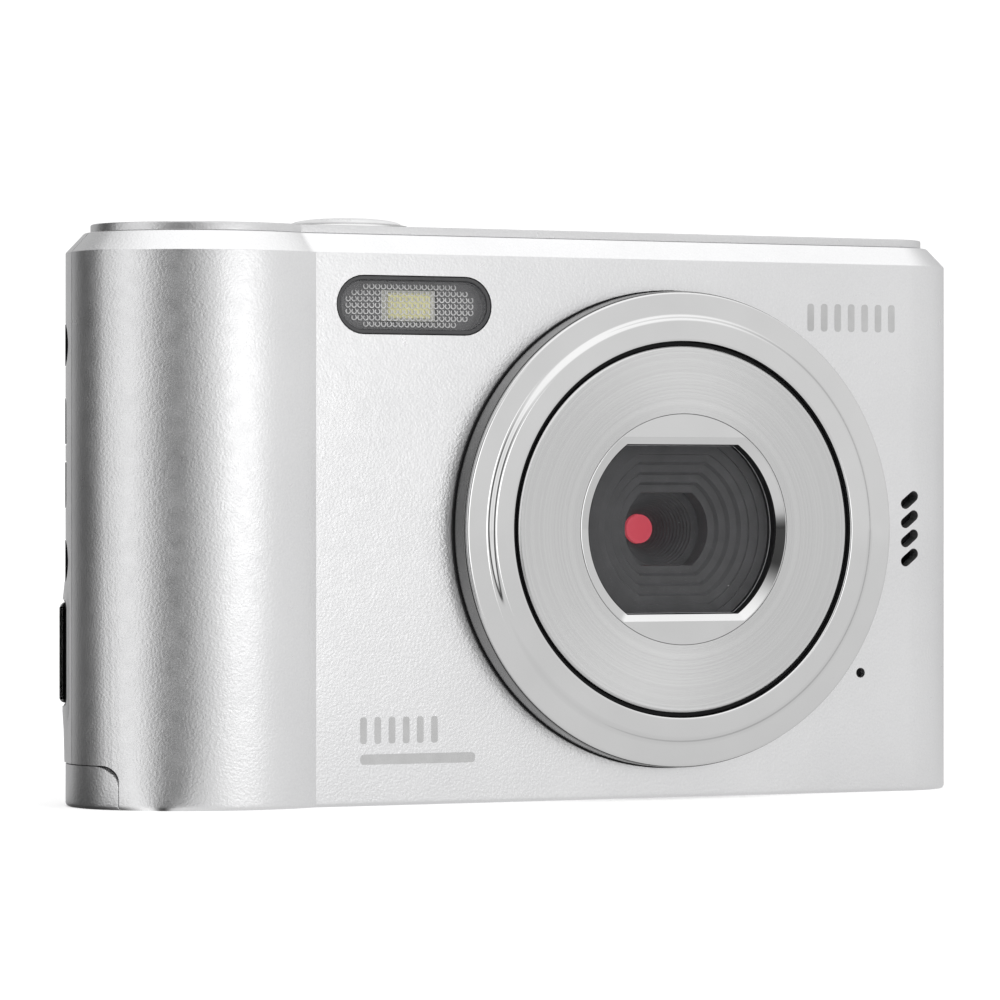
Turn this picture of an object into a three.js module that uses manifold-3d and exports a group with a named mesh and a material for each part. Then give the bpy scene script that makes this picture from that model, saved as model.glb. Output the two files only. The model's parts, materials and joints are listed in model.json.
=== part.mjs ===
// A compact digital camera, as an assembly of separate pieces.
// Millimetres. X runs to the right as seen from the front, Y runs from front to back, +Z is up.
// Inside this file X is measured from the crease where the grip meets the front face, Y from the
// front face and Z from the base. The whole group is moved at the end, so that the origin is at the
// middle of the camera's footprint.
import * as THREE from "three";
import { mergeVertices } from "three/addons/utils/BufferGeometryUtils.js";
import Module from "manifold-3d";

const wasm = await Module();
wasm.setup();

// ---- driving dimensions -------------------------------------------------------------------------
const rightEnd = 72.35; // crease to the right end
const bodyDepth = 20; // front face to back face
const partingY = 10; // the shell halves meet here
const partingGap = 0.1;
const wallTop = 53.5; // where the top chamfer starts
const chamferRise = 1.9;
const chamferInset = 1.8;
const baseBevelRise = 0.6;
const baseBevelInset = 0.9;
const plateInset = 2.4;
const plateThickness = 0.8;
const wall = 1.6; // shell wall thickness
const floorThickness = 2;
const fit = 0.1; // clearance between fixed pieces
const running = 0.15; // clearance around moving pieces

// Plan shape of the grip: one large arc that starts at the crease and runs into the end arcs.
const gripArc = 16;
const gripBulge = 1.5; // how far the grip stands in front of the front face
const endFrontRadius = 8.3;
const endRearRadius = bodyDepth - partingY;
const frontCorner = 7;
const rearCorner = 6;

// Lens trim.
const lensX = 38;
const lensZ = 26.7;
const ringHeight = 3.6; // how far the trim stands in front of the face
const ringRadius = 23.6;
const ringInnerRadius = 18.63;
const discRadius = 18.12;
const discDish = 0.15; // how far the disc's inner edge lies behind its outer edge
const insertRadius = 11.45;
const windowRadius = 10.4;
const windowHalfHeight = 8.4;

// Flash window.
const flashX = 10.35;
const flashZ = 48.5;
const flashLength = 16.3;
const flashHeight = 5.6;
const flashRim = 0.4;
const flashDepth = 2.6;

// Top controls.
const shutterX = 7.5;
const powerX = 22;
const topControlY = 10.5;
const shutterRadius = 5.5;
const collarRadius = 6.4;
const collarWidth = 0.7;
const powerRadius = 2.6;

// Controls on the grip end.
const endKeyY = 13.4;
const endKeyMiddleZ = 34.15;
const endKeySpacing = 10.45;
const roundKeyRadius = 2;
const rockerHalfWidth = 1;
const rockerGap = 1.8;
const rockerLength = 4.4;

// Battery door and its hinge.
const doorFrontY = 4;
const doorBackY = 16;
const doorRightX = 18;
const doorTabHeight = 4.1;
const doorCorner = 1.7;
const hingeInset = 1; // hinge axis to the door's right edge and to its underside
const hingePinRadius = 0.45;

// Back face.
const screenX = 35;
const screenZ = 27.8;
const screenWidth = 61;
const screenHeight = 46;
const keyColumnX = -3.8; // middle of the key field beside the screen

// Strap lug: a thin bridge along the back of a black pocket. The pocket is let into a low pad on the
// rear shell's end.
const lugZ = 14.8;
const lugLength = 9.8;
const lugFrontY = 13.5;
const lugBackY = 16;
const lugProud = 0.7;
const lugThickness = 0.15;
const lugDepth = 0.7; // how far its two feet reach into the pocket
const pocketFrontY = 11.7;
const pocketDepth = 1;
const pocketFloor = 0.2;
const padCurve = 7; // plan radius of the pad
const padTurn = THREE.MathUtils.degToRad(25); // direction of the pad's middle, from the end towards the back

// ---- derived dimensions -------------------------------------------------------------------------
const shellTop = wallTop + chamferRise;
const plateBottom = shellTop + 0.05;
const plateTop = plateBottom + plateThickness;
const ceiling = shellTop - 1.5;
const gripY = gripArc - gripBulge;
const gripX = -Math.sqrt(gripArc ** 2 - gripY ** 2);
const endFrontX = gripX - Math.sqrt((gripArc - endFrontRadius) ** 2 - (gripY - partingY) ** 2);
const gripEnd = endFrontX - endFrontRadius;
const endRearX = gripEnd + endRearRadius;
const lugTip = endRearX - Math.sqrt((endRearRadius + lugProud) ** 2 - (lugFrontY - partingY) ** 2);
const backKeyProud = 0.45;
const middleX = (rightEnd + lugTip) / 2;
const middleY = (bodyDepth + backKeyProud - ringHeight) / 2;

// ---- outlines -----------------------------------------------------------------------------------
function arc(centreX, centreY, radius, from, to, steps) {
  const points = [];
  for (let i = 0; i <= steps; i += 1) {
    const angle = from + ((to - from) * i) / steps;
    points.push(new THREE.Vector2(centreX + radius * Math.cos(angle), centreY + radius * Math.sin(angle)));
  }
  return points;
}

// Plan outline of the body, drawn in from the outer surface by `inset`.
function bodyOutline(inset) {
  const right = Math.PI * 2;
  const creaseX = gripX + Math.sqrt((gripArc - inset) ** 2 - (gripY - inset) ** 2);
  const joinAngle = Math.atan2(partingY - gripY, endFrontX - gripX) + right;
  const creaseAngle = Math.atan2(inset - gripY, creaseX - gripX) + right;
  return [
    ...arc(rightEnd - frontCorner, frontCorner, frontCorner - inset, -Math.PI / 2, 0, 8),
    ...arc(rightEnd - rearCorner, bodyDepth - rearCorner, rearCorner - inset, 0, Math.PI / 2, 7),
    ...arc(endRearX, partingY, endRearRadius - inset, Math.PI / 2, Math.PI, 10),
    ...arc(endFrontX, partingY, endFrontRadius - inset, Math.PI, joinAngle, 6).slice(1),
    ...arc(gripX, gripY, gripArc - inset, joinAngle, creaseAngle, 12).slice(1),
  ];
}

function stadium(centreX, centreY, length, height, steps = 8) {
  const radius = height / 2;
  const reach = length / 2 - radius;
  return [
    ...arc(centreX + reach, centreY, radius, -Math.PI / 2, Math.PI / 2, steps),
    ...arc(centreX - reach, centreY, radius, Math.PI / 2, Math.PI * 1.5, steps),
  ];
}

function roundedRectangle(centreX, centreY, width, height, radius, steps = 4) {
  const x = width / 2 - radius;
  const y = height / 2 - radius;
  const quarter = Math.PI / 2;
  return [
    ...arc(centreX + x, centreY - y, radius, -quarter, 0, steps),
    ...arc(centreX + x, centreY + y, radius, 0, quarter, steps),
    ...arc(centreX - x, centreY + y, radius, quarter, 2 * quarter, steps),
    ...arc(centreX - x, centreY - y, radius, 2 * quarter, 3 * quarter, steps),
  ];
}

// A circle with its top and bottom cut off flat.
function doubleD(centreX, centreY, radius, halfHeight, steps = 14) {
  const angle = Math.asin(halfHeight / radius);
  return [
    ...arc(centreX, centreY, radius, -angle, angle, steps),
    ...arc(centreX, centreY, radius, Math.PI - angle, Math.PI + angle, steps),
  ];
}

function circle(centreX, centreY, radius, steps = 24) {
  return arc(centreX, centreY, radius, 0, Math.PI * 2, steps).slice(0, -1);
}

// ---- solids from outlines -----------------------------------------------------------------------
// Joins outlines with equal point counts, each at its own height, into one closed body.
function loft(levels) {
  const count = levels[0].outline.length;
  const positions = [];
  for (const level of levels) {
    for (const point of level.outline) positions.push(point.x, point.y, level.z);
  }
  const index = [];
  for (let row = 0; row + 1 < levels.length; row += 1) {
    for (let i = 0; i < count; i += 1) {
      const a = row * count + i;
      const b = row * count + ((i + 1) % count);
      index.push(a, b, b + count, a, b + count, a + count);
    }
  }
  const top = (levels.length - 1) * count;
  for (const [a, b, c] of THREE.ShapeUtils.triangulateShape(levels[0].outline, [])) index.push(c, b, a);
  for (const [a, b, c] of THREE.ShapeUtils.triangulateShape(levels.at(-1).outline, [])) {
    index.push(top + a, top + b, top + c);
  }
  const geometry = new THREE.BufferGeometry();
  geometry.setAttribute("position", new THREE.Float32BufferAttribute(positions, 3));
  geometry.setIndex(index);
  return geometry;
}

function prism(outline, z0, z1) {
  return loft([
    { outline, z: z0 },
    { outline, z: z1 },
  ]);
}

// Turns a solid drawn in (X, Z) with its height along -Y into place.
const facingFront = new THREE.Matrix4().makeBasis(
  new THREE.Vector3(1, 0, 0),
  new THREE.Vector3(0, 0, 1),
  new THREE.Vector3(0, -1, 0),
);
// Turns a solid drawn in (Y, Z) with its height along X into place.
const facingSide = new THREE.Matrix4().makeBasis(
  new THREE.Vector3(0, 1, 0),
  new THREE.Vector3(0, 0, 1),
  new THREE.Vector3(1, 0, 0),
);

function prismAlongY(outline, y0, y1) {
  return prism(outline, -y1, -y0).applyMatrix4(facingFront);
}

function prismAlongX(outline, x0, x1) {
  return prism(outline, x0, x1).applyMatrix4(facingSide);
}

function box(x0, x1, y0, y1, z0, z1) {
  const geometry = new THREE.BoxGeometry(x1 - x0, y1 - y0, z1 - z0);
  return geometry.translate((x0 + x1) / 2, (y0 + y1) / 2, (z0 + z1) / 2);
}

// A turned piece on an axis along Y. The profile holds [radius, y] pairs, anticlockwise.
function turnedAlongY(profile, x, z, segments = 48) {
  const points = profile.map(([radius, y]) => new THREE.Vector2(radius, y));
  return new THREE.LatheGeometry(points, segments).translate(x, 0, z);
}

// A turned piece on an axis along Z. The profile holds [radius, z] pairs, anticlockwise.
function turnedAlongZ(profile, x, y, segments = 32) {
  const points = profile.map(([radius, z]) => new THREE.Vector2(radius, z));
  return new THREE.LatheGeometry(points, segments).rotateX(Math.PI / 2).translate(x, y, 0);
}

// A plain round bar along Y or Z, between two distances.
function barAlongY(radius, from, to, x, z, sides) {
  return turnedAlongY([[0, from], [radius, from], [radius, to], [0, to]], x, z, sides);
}

function barAlongZ(radius, from, to, x, y, sides) {
  return turnedAlongZ([[0, from], [radius, from], [radius, to], [0, to]], x, y, sides);
}

// ---- booleans -----------------------------------------------------------------------------------
function solid(geometry) {
  const bare = geometry.clone();
  bare.deleteAttribute("normal");
  bare.deleteAttribute("uv");
  const merged = mergeVertices(bare, 1e-4);
  const vertProperties = new Float32Array(merged.attributes.position.array);
  const triVerts = new Uint32Array(merged.index.array);
  return new wasm.Manifold(new wasm.Mesh({ numProp: 3, vertProperties, triVerts }));
}

function cut(base, ...tools) {
  return tools.reduce((rest, tool) => rest.subtract(solid(tool)), base);
}

function asGeometry(manifold) {
  const mesh = manifold.getMesh();
  const geometry = new THREE.BufferGeometry();
  geometry.setAttribute("position", new THREE.Float32BufferAttribute(mesh.vertProperties, 3));
  geometry.setIndex(new THREE.Uint32BufferAttribute(mesh.triVerts, 1));
  return geometry;
}

// ---- materials ----------------------------------------------------------------------------------
const finishes = {
  silverPaint: { color: 0xd4d4d6, roughness: 0.45, metalness: 0.4 },
  chrome: { color: 0xe2e2e4, roughness: 0.08, metalness: 1 },
  spunMetal: { color: 0xc6c6c8, roughness: 0.25, metalness: 1 },
  blackPlastic: { color: 0x141415, roughness: 0.45, metalness: 0 },
  baffleBlack: { color: 0x47474a, roughness: 0.7, metalness: 0 },
  clearPlastic: { color: 0xdfe6ea, roughness: 0.05, metalness: 0 },
  darkGlass: { color: 0x0b0c10, roughness: 0.05, metalness: 0 },
  coatedGlass: { color: 0xd8455a, roughness: 0.1, metalness: 0 },
  steel: { color: 0x9d9fa3, roughness: 0.35, metalness: 1 },
  brass: { color: 0xb99a56, roughness: 0.35, metalness: 1 },
  board: { color: 0x1e5137, roughness: 0.6, metalness: 0 },
  phosphor: { color: 0xe2dc8c, roughness: 0.6, metalness: 0 },
  whitePlastic: { color: 0xe9e9e6, roughness: 0.5, metalness: 0 },
  batteryWrap: { color: 0x2f3a4a, roughness: 0.5, metalness: 0 },
};

const camera = new THREE.Group();
camera.position.set(-middleX, -middleY, 0);

function add(name, shape, finish) {
  const geometry = shape.isBufferGeometry ? shape : asGeometry(shape);
  const mesh = new THREE.Mesh(geometry, new THREE.MeshStandardMaterial(finishes[finish]));
  mesh.name = name;
  camera.add(mesh);
}

// ---- shells -------------------------------------------------------------------------------------
const everywhere = 200;
const bodySolid = solid(
  loft([
    { outline: bodyOutline(baseBevelInset), z: 0 },
    { outline: bodyOutline(0), z: baseBevelRise },
    { outline: bodyOutline(0), z: wallTop },
    { outline: bodyOutline(chamferInset), z: shellTop },
  ]),
);
const bodyCavity = solid(
  loft([
    { outline: bodyOutline(wall), z: floorThickness },
    { outline: bodyOutline(wall), z: wallTop - 0.6 },
    { outline: bodyOutline(wall + 1.2), z: ceiling },
  ]),
);
const hollowBody = bodySolid.subtract(bodyCavity);

// The battery door seen from the end, with the top corners of its tab rounded.
function doorOutline(clearance) {
  const bottom = -3;
  const height = doorTabHeight + clearance - bottom;
  return roundedRectangle((doorFrontY + doorBackY) / 2, bottom + height / 2,
    doorBackY - doorFrontY + 2 * clearance, height, doorCorner);
}

function doorSpace() {
  return prismAlongX(doorOutline(running), gripEnd - 5, doorRightX + running);
}

function endKeyOutlines(clearance) {
  const keys = {};
  for (const [name, side] of [["upper_end_key", 1], ["lower_end_key", -1]]) {
    const z = endKeyMiddleZ + side * endKeySpacing;
    keys[name] = circle(endKeyY, z, roundKeyRadius + clearance, 20);
  }
  for (const [name, side] of [["zoom_in_key", 1], ["zoom_out_key", -1]]) {
    const middle = endKeyMiddleZ + (side * (rockerGap + rockerLength)) / 2;
    keys[name] = rockerOutline(middle, side, clearance);
  }
  return keys;
}

// Half of a stadium: square at the end that faces the other half, round at the far end.
function rockerOutline(middleZ, side, clearance) {
  const halfWidth = rockerHalfWidth + clearance;
  const far = middleZ + side * (rockerLength / 2 - rockerHalfWidth);
  const near = middleZ - side * (rockerLength / 2 + clearance);
  const start = side > 0 ? 0 : Math.PI;
  const round = arc(endKeyY, far, halfWidth, start, start + Math.PI, 8);
  const square = [
    new THREE.Vector2(endKeyY - side * halfWidth, near),
    new THREE.Vector2(endKeyY + side * halfWidth, near),
  ];
  return [...round, ...square];
}

const lensBore = barAlongY(insertRadius + 2, -1, 5, lensX, lensZ, 40);
const flashHole = prismAlongY(stadium(flashX, flashZ, flashLength + 2 * fit, flashHeight + 2 * fit), -1, 3);
const shutterHole = barAlongZ(1.9, ceiling - 1, shellTop + 1, shutterX, topControlY, 20);
const powerHole = barAlongZ(1.3, ceiling - 1, shellTop + 1, powerX, topControlY, 20);
const tripodX = lensX;
const tripodHole = turnedAlongZ([[0, -1], [4.5, -1], [4.5, 3], [0, 3]], tripodX, partingY, 28);

const speakerX = 65.4;
const slotPitch = 1.95;
const slotTopZ = 29.6;
const slotLength = 2.25;
const slotWidth = 1.05;
const slotTilt = THREE.MathUtils.degToRad(38);

function speakerSlots() {
  const slots = [];
  for (let i = 0; i < 4; i += 1) {
    const slot = prismAlongY(stadium(0, 0, slotLength, slotWidth, 5), -1, 3);
    slots.push(slot.rotateY(-slotTilt).translate(speakerX, 0, slotTopZ - i * slotPitch));
  }
  return slots;
}

const microphoneX = 59.7;
const microphoneZ = 12.1;
const microphoneHole = turnedAlongY([[0, -1], [0.5, -1], [0.5, 3], [0, 3]], microphoneX, microphoneZ, 12);

const portY = 13.4;
const portZ = 31;
const portWidth = 7.6; // along Z
const portHeight = 2.9; // along Y
const portHole = prismAlongX(
  roundedRectangle(portY, portZ, portHeight + 2 * fit, portWidth + 2 * fit, 0.6), rightEnd - 4, rightEnd + 1);

// Side screws sit in counterbored holes in the right end of the rear shell.
const screwZ = { low: 10.5, high: 45.5 };
const screwY = 14.6;

function screwHole(z) {
  return prismAlongX(circle(screwY, z, 1.25, 16), rightEnd - 0.7, rightEnd + 1);
}

function buildFrontShell() {
  const behind = box(-everywhere, everywhere, partingY - partingGap / 2, everywhere, -1, everywhere);
  const half = cut(hollowBody, behind);
  const shell = cut(half, lensBore, flashHole, shutterHole, powerHole, tripodHole, microphoneHole,
    ...speakerSlots(), doorSpace());
  add("front_shell", shell, "silverPaint");
}

// The back of the rear shell has a shallow bed for the screen and a field for the keys.
const screenBed = prismAlongY(
  roundedRectangle(screenX, screenZ, screenWidth + 2 * fit, screenHeight + 2 * fit, 2),
  bodyDepth - 1.2,
  bodyDepth + 1,
);
const screenOpening = prismAlongY(
  roundedRectangle(screenX, screenZ, screenWidth - 4, screenHeight - 4, 1), bodyDepth - 3, bodyDepth + 1);

const backKeys = {
  menu_key: { x: keyColumnX - 4.2, z: 43.5, radius: 2.1 },
  mode_key: { x: keyColumnX + 4.2, z: 43.5, radius: 2.1 },
  play_key: { x: keyColumnX - 4.2, z: 12.6, radius: 2.1 },
  delete_key: { x: keyColumnX + 4.2, z: 12.6, radius: 2.1 },
};
const statusZ = 36.8;
const padZ = 28;
const padRadius = 6.4;
const okRadius = 2.6;

function keyHole(x, z, radius) {
  return barAlongY(radius, bodyDepth - 3, bodyDepth + 1, x, z, 32);
}

// A slab that follows the body's outer surface, from `outer` to `inner` below that surface.
function skin(outer, inner, z0, z1) {
  return solid(prism(bodyOutline(outer), z0, z1)).subtract(solid(prism(bodyOutline(inner), z0 - 1, z1 + 1)));
}

// The lug's outline, or with `frontY` the pocket's, seen from the end.
function lugOutline(frontY, clearance) {
  return roundedRectangle((frontY + lugBackY) / 2, lugZ, lugBackY - frontY + 2 * clearance,
    lugLength + 2 * clearance, 0.9);
}

// The part of a slab `depth` deep under the body's surface that lies inside an outline on the end.
function endPlug(outline, outer, depth) {
  return solid(prismAlongX(outline, lugTip - 1, endRearX)).intersect(skin(outer, depth, 1, wallTop));
}

// The pad swells out of the rear shell's end around the lug and runs down to the battery door.
function buildPad() {
  const heights = [
    { z: doorTabHeight + running, proud: 0.15 },
    { z: lugZ - 7.6, proud: 0.2 },
    { z: lugZ - 5.6, proud: 0.32 },
    { z: lugZ + 5, proud: 0.32 },
    { z: lugZ + 8, proud: -0.02 },
  ];
  const levels = heights.map(({ z, proud }) => {
    const reach = endRearRadius + proud - padCurve;
    const middleX = endRearX - reach * Math.cos(padTurn);
    const middleY = partingY + reach * Math.sin(padTurn);
    const outline = circle(middleX, middleY, padCurve, 60);
    return { outline, z };
  });
  return solid(loft(levels)).subtract(bodyCavity);
}

function buildRearShell() {
  const recess = endPlug(lugOutline(pocketFrontY, 0.4), -2, pocketDepth + fit / 2);
  const half = cut(
    hollowBody.add(buildPad()).subtract(recess),
    box(-everywhere, everywhere, -everywhere, partingY + partingGap / 2, -1, everywhere),
  );
  const keyHoles = Object.values(endKeyOutlines(running)).map((outline) =>
    prismAlongX(outline, gripEnd - 1, endRearX - 3));
  const backHoles = Object.values(backKeys).map((key) => keyHole(key.x, key.z, key.radius + running));
  const statusHole = keyHole(keyColumnX, statusZ, 0.6);
  const shell = cut(half, screenBed, screenOpening, shutterHole, powerHole, tripodHole, portHole,
    screwHole(screwZ.low), screwHole(screwZ.high), ...keyHoles, ...backHoles,
    keyHole(keyColumnX, padZ, padRadius + running), statusHole, doorSpace());
  add("rear_shell", shell, "silverPaint");
}

function buildTopPlate() {
  const plate = solid(prism(bodyOutline(plateInset), plateBottom, plateTop));
  const holes = [{ x: shutterX, radius: collarRadius + fit }, { x: powerX, radius: powerRadius + running }];
  const tools = holes.map(({ x, radius }) =>
    prism(circle(x, topControlY, radius, 36), shellTop - 1, plateTop + 1));
  add("top_plate", cut(plate, ...tools), "silverPaint");
}

function buildFasteners() {
  for (const [name, z] of Object.entries(screwZ)) {
    const head = solid(prismAlongX(circle(screwY, z, 1.1, 16), rightEnd - 0.65, rightEnd - 0.15));
    const slotAcross = box(rightEnd - 0.4, rightEnd + 1, screwY - 0.8, screwY + 0.8, z - 0.15, z + 0.15);
    const slotUp = box(rightEnd - 0.4, rightEnd + 1, screwY - 0.15, screwY + 0.15, z - 0.8, z + 0.8);
    add(`side_screw_${name}`, cut(head, slotAcross, slotUp), "steel");
  }
  const bush = [
    [2.9, 0.1], [4.4, 0.1], [4.4, 2.1], [5.6, 2.1], [5.6, 3.2], [4, 3.2], [4, 6.3], [0, 6.3], [0, 5.5],
    [2.9, 5.5], [2.9, 0.1],
  ];
  add("tripod_bush", turnedAlongZ(bush, tripodX, partingY, 28), "brass");
}

// ---- lens trim ----------------------------------------------------------------------------------
function buildLensTrim() {
  const front = -ringHeight;
  const ring = [
    [ringInnerRadius, -fit / 2], [ringInnerRadius, front], [20.7, front], [21.1, front + 0.55],
    [ringRadius - 0.45, front + 0.55], [ringRadius, front + 1.1], [ringRadius, -fit / 2],
    [ringInnerRadius, -fit / 2],
  ];
  add("lens_ring", turnedAlongY(ring, lensX, lensZ, 72), "chrome");

  const sealInner = discRadius + fit;
  const sealOuter = ringInnerRadius - fit;
  const seal = [
    [sealInner, -fit / 2], [sealInner, front + 0.7], [sealOuter, front + 0.7], [sealOuter, -fit / 2],
    [sealInner, -fit / 2],
  ];
  add("groove_seal", turnedAlongY(seal, lensX, lensZ, 60), "blackPlastic");

  const disc = [
    [insertRadius + fit / 2, -fit / 2], [insertRadius + fit / 2, front + discDish],
    [discRadius - 0.15, front], [discRadius, front + 0.15], [discRadius, -fit / 2],
    [insertRadius + fit / 2, -fit / 2],
  ];
  add("lens_disc", turnedAlongY(disc, lensX, lensZ, 72), "spunMetal");

  const insertFront = front + discDish;
  const insertEdge = insertRadius - fit / 2;
  const insertRound = [[0, insertFront], [insertEdge, insertFront], [insertEdge, 1.2], [0, 1.2]];
  const insert = cut(
    solid(turnedAlongY(insertRound, lensX, lensZ, 64)),
    prismAlongY(doubleD(lensX, lensZ, windowRadius, windowHalfHeight), front - 1, 2),
  );
  add("window_insert", insert, "chrome");

  const pane = doubleD(lensX, lensZ, windowRadius - fit, windowHalfHeight - fit);
  add("lens_window", prismAlongY(pane, baffleFront - 0.6, baffleFront - 0.1), "clearPlastic");
}

// The baffle is a shallow dark funnel whose double-D steps shrink by the same amount each time. The
// innermost step drops deeper to a plate, and from the plate's middle a cone runs back to the lens.
const baffleFront = -1.4;
const baffleBack = 7.6;
const baffleSteps = 5;
const baffleStepDepth = 0.5;
const baffleRadius = 8.6;
const baffleHalfHeight = 7.65;
const baffleShrink = 1.04;
const plateDrop = 1.5;
const coneRadius = 3.6;
const eyeRadius = 1.5;

function buildBaffle() {
  const outside = doubleD(lensX, lensZ, windowRadius - fit, windowHalfHeight - fit);
  let funnel = solid(prismAlongY(outside, baffleFront, baffleBack));
  for (let i = 0; i < baffleSteps; i += 1) {
    const shrink = i * baffleShrink;
    const outline = doubleD(lensX, lensZ, baffleRadius - shrink, baffleHalfHeight - shrink, 12);
    const drop = i === baffleSteps - 1 ? plateDrop : 0;
    funnel = cut(funnel, prismAlongY(outline, baffleFront - 1, baffleFront + baffleStepDepth * (i + 1) + drop));
  }
  const plateY = baffleFront + baffleStepDepth * baffleSteps + plateDrop;
  const cone = [
    [0, plateY - 0.1], [coneRadius, plateY - 0.1], [coneRadius, plateY], [eyeRadius, baffleBack - 0.4],
    [eyeRadius, baffleBack + 1], [0, baffleBack + 1],
  ];
  add("lens_baffle", cut(funnel, turnedAlongY(cone, lensX, lensZ, 32)), "baffleBlack");
}

function buildOptics() {
  const barrelFront = baffleBack + fit;
  const barrel = [
    [1.9, barrelFront], [6.5, barrelFront], [6.5, 12.4], [4.2, 12.4], [4.2, 11], [1.9, 11],
    [1.9, barrelFront],
  ];
  add("lens_barrel", turnedAlongY(barrel, lensX, lensZ, 36), "blackPlastic");
  const lensFront = baffleBack - 0.4;
  const frontLens = [[0, lensFront], [eyeRadius - fit, lensFront + 0.1], [eyeRadius - fit, barrelFront],
    [1.8, barrelFront], [1.8, barrelFront + 0.9], [0, barrelFront + 0.9]];
  add("front_lens", turnedAlongY(frontLens, lensX, lensZ, 24), "coatedGlass");
  const rearLens = [[0, 9.2], [1.8, 9.4], [1.8, 10.4], [0, 10.7]];
  add("rear_lens", turnedAlongY(rearLens, lensX, lensZ, 24), "clearPlastic");
  const filter = prismAlongY(roundedRectangle(lensX, lensZ, 5.4, 5.4, 0.2, 2), 11.3, 11.6);
  add("infrared_filter", filter, "clearPlastic");
  add("image_sensor", box(lensX - 2.8, lensX + 2.8, 11.8, 12.9, lensZ - 2.8, lensZ + 2.8), "darkGlass");
}

// ---- flash --------------------------------------------------------------------------------------
// A dark tray that is open to the front, with the light-emitting diode in the middle of its floor.
function buildFlash() {
  const inside = (clearance) => stadium(flashX, flashZ, flashLength - 2 * (flashRim + clearance),
    flashHeight - 2 * (flashRim + clearance));
  const trayFloor = 1.3;
  const diodeLength = 5.7;
  const diodeHeight = 3;
  const block = (length, height, y0, y1) =>
    box(flashX - length / 2, flashX + length / 2, y0, y1, flashZ - height / 2, flashZ + height / 2);
  const bezel = cut(
    solid(prismAlongY(stadium(flashX, flashZ, flashLength, flashHeight), 0, flashDepth)),
    prismAlongY(inside(0), -1, trayFloor),
    block(diodeLength + 2 * fit, diodeHeight + 2 * fit, -1, flashDepth + 1),
  );
  add("flash_bezel", bezel, "blackPlastic");
  add("flash_window", prismAlongY(inside(fit), 0.1, trayFloor - fit), "clearPlastic");
  add("flash_package", block(diodeLength, diodeHeight, trayFloor + 0.3, flashDepth), "whitePlastic");
  add("flash_phosphor", block(4.4, 2.4, trayFloor, trayFloor + 0.25), "phosphor");
  add("flash_board", block(15, 5.8, flashDepth + fit, flashDepth + 0.9), "board");
}

// ---- top controls -------------------------------------------------------------------------------
function buildTopControls() {
  const collar = [
    [collarRadius - collarWidth, plateBottom], [collarRadius, plateBottom], [collarRadius, plateTop + 0.1],
    [collarRadius - 0.3, plateTop + 0.35], [collarRadius - collarWidth, plateTop + 0.35],
    [collarRadius - collarWidth, plateBottom],
  ];
  add("shutter_collar", turnedAlongZ(collar, shutterX, topControlY, 40), "chrome");

  const capBottom = shellTop + 0.5;
  const rimZ = plateTop + 0.45;
  const dome = plateTop + 1.1;
  const shutter = [[0, ceiling - 0.9], [1.6, ceiling - 0.9], [1.6, capBottom], [shutterRadius, capBottom],
    [shutterRadius, rimZ], [shutterRadius - 0.7, rimZ + 0.3], [shutterRadius * 0.55, dome - 0.1], [0, dome]];
  add("shutter_button", turnedAlongZ(shutter, shutterX, topControlY, 40), "silverPaint");

  const power = [[0, ceiling - 0.9], [1, ceiling - 0.9], [1, shellTop + 0.4], [powerRadius, shellTop + 0.4],
    [powerRadius, plateTop], [powerRadius - 0.3, plateTop + 0.12], [0, plateTop + 0.12]];
  add("power_button", turnedAlongZ(power, powerX, topControlY, 28), "silverPaint");

  const switchTop = ceiling - 1.45;
  add("shutter_switch", box(shutterX - 2.2, shutterX + 2.2, topControlY - 2.2, topControlY + 2.2,
    switchTop - 1.2, switchTop), "blackPlastic");
  add("power_switch", box(powerX - 1.8, powerX + 1.8, topControlY - 1.8, topControlY + 1.8,
    switchTop - 1.2, switchTop), "blackPlastic");
  add("top_board", box(shutterX - 3.5, powerX + 3.5, topControlY - 3.2, topControlY + 3.2,
    switchTop - 2.2, switchTop - 1.3), "board");
}

// ---- grip end -----------------------------------------------------------------------------------
function buildEndKeys() {
  const ring = skin(0.05, 2.2, 1, wallTop);
  for (const [name, outline] of Object.entries(endKeyOutlines(0))) {
    add(name, solid(prismAlongX(outline, gripEnd - 1, endRearX - 3)).intersect(ring), "blackPlastic");
  }
  add("end_key_board", box(-17.1, -16.6, 11.2, 14.6, endKeyMiddleZ - 13, endKeyMiddleZ + 13), "board");
}

function buildStrapLug() {
  const half = lugLength / 2;
  const footThickness = 0.4;
  const outline = solid(prismAlongX(lugOutline(lugFrontY, 0), lugTip - 1, endRearX));
  const bridge = skin(-lugProud, lugThickness - lugProud, lugZ - half, lugZ + half);
  const lowerFoot = skin(-lugProud, lugDepth, lugZ - half, lugZ - half + footThickness);
  const upperFoot = skin(-lugProud, lugDepth, lugZ + half - footThickness, lugZ + half);
  add("strap_lug", bridge.add(lowerFoot).add(upperFoot).intersect(outline), "chrome");
  const pocket = endPlug(lugOutline(pocketFrontY, 0.35), 0, pocketDepth)
    .subtract(endPlug(lugOutline(pocketFrontY, 0.1), -1, pocketDepth - pocketFloor));
  add("lug_pocket", pocket, "blackPlastic");
}

// ---- battery compartment and door ---------------------------------------------------------------
const hingeX = doorRightX - hingeInset;
const hingeZ = hingeInset;
const slotsAtY = [doorFrontY + 0.9, doorBackY - 0.9]; // the slider's arms run beside the door's knuckle
const armWidth = 0.9;

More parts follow.
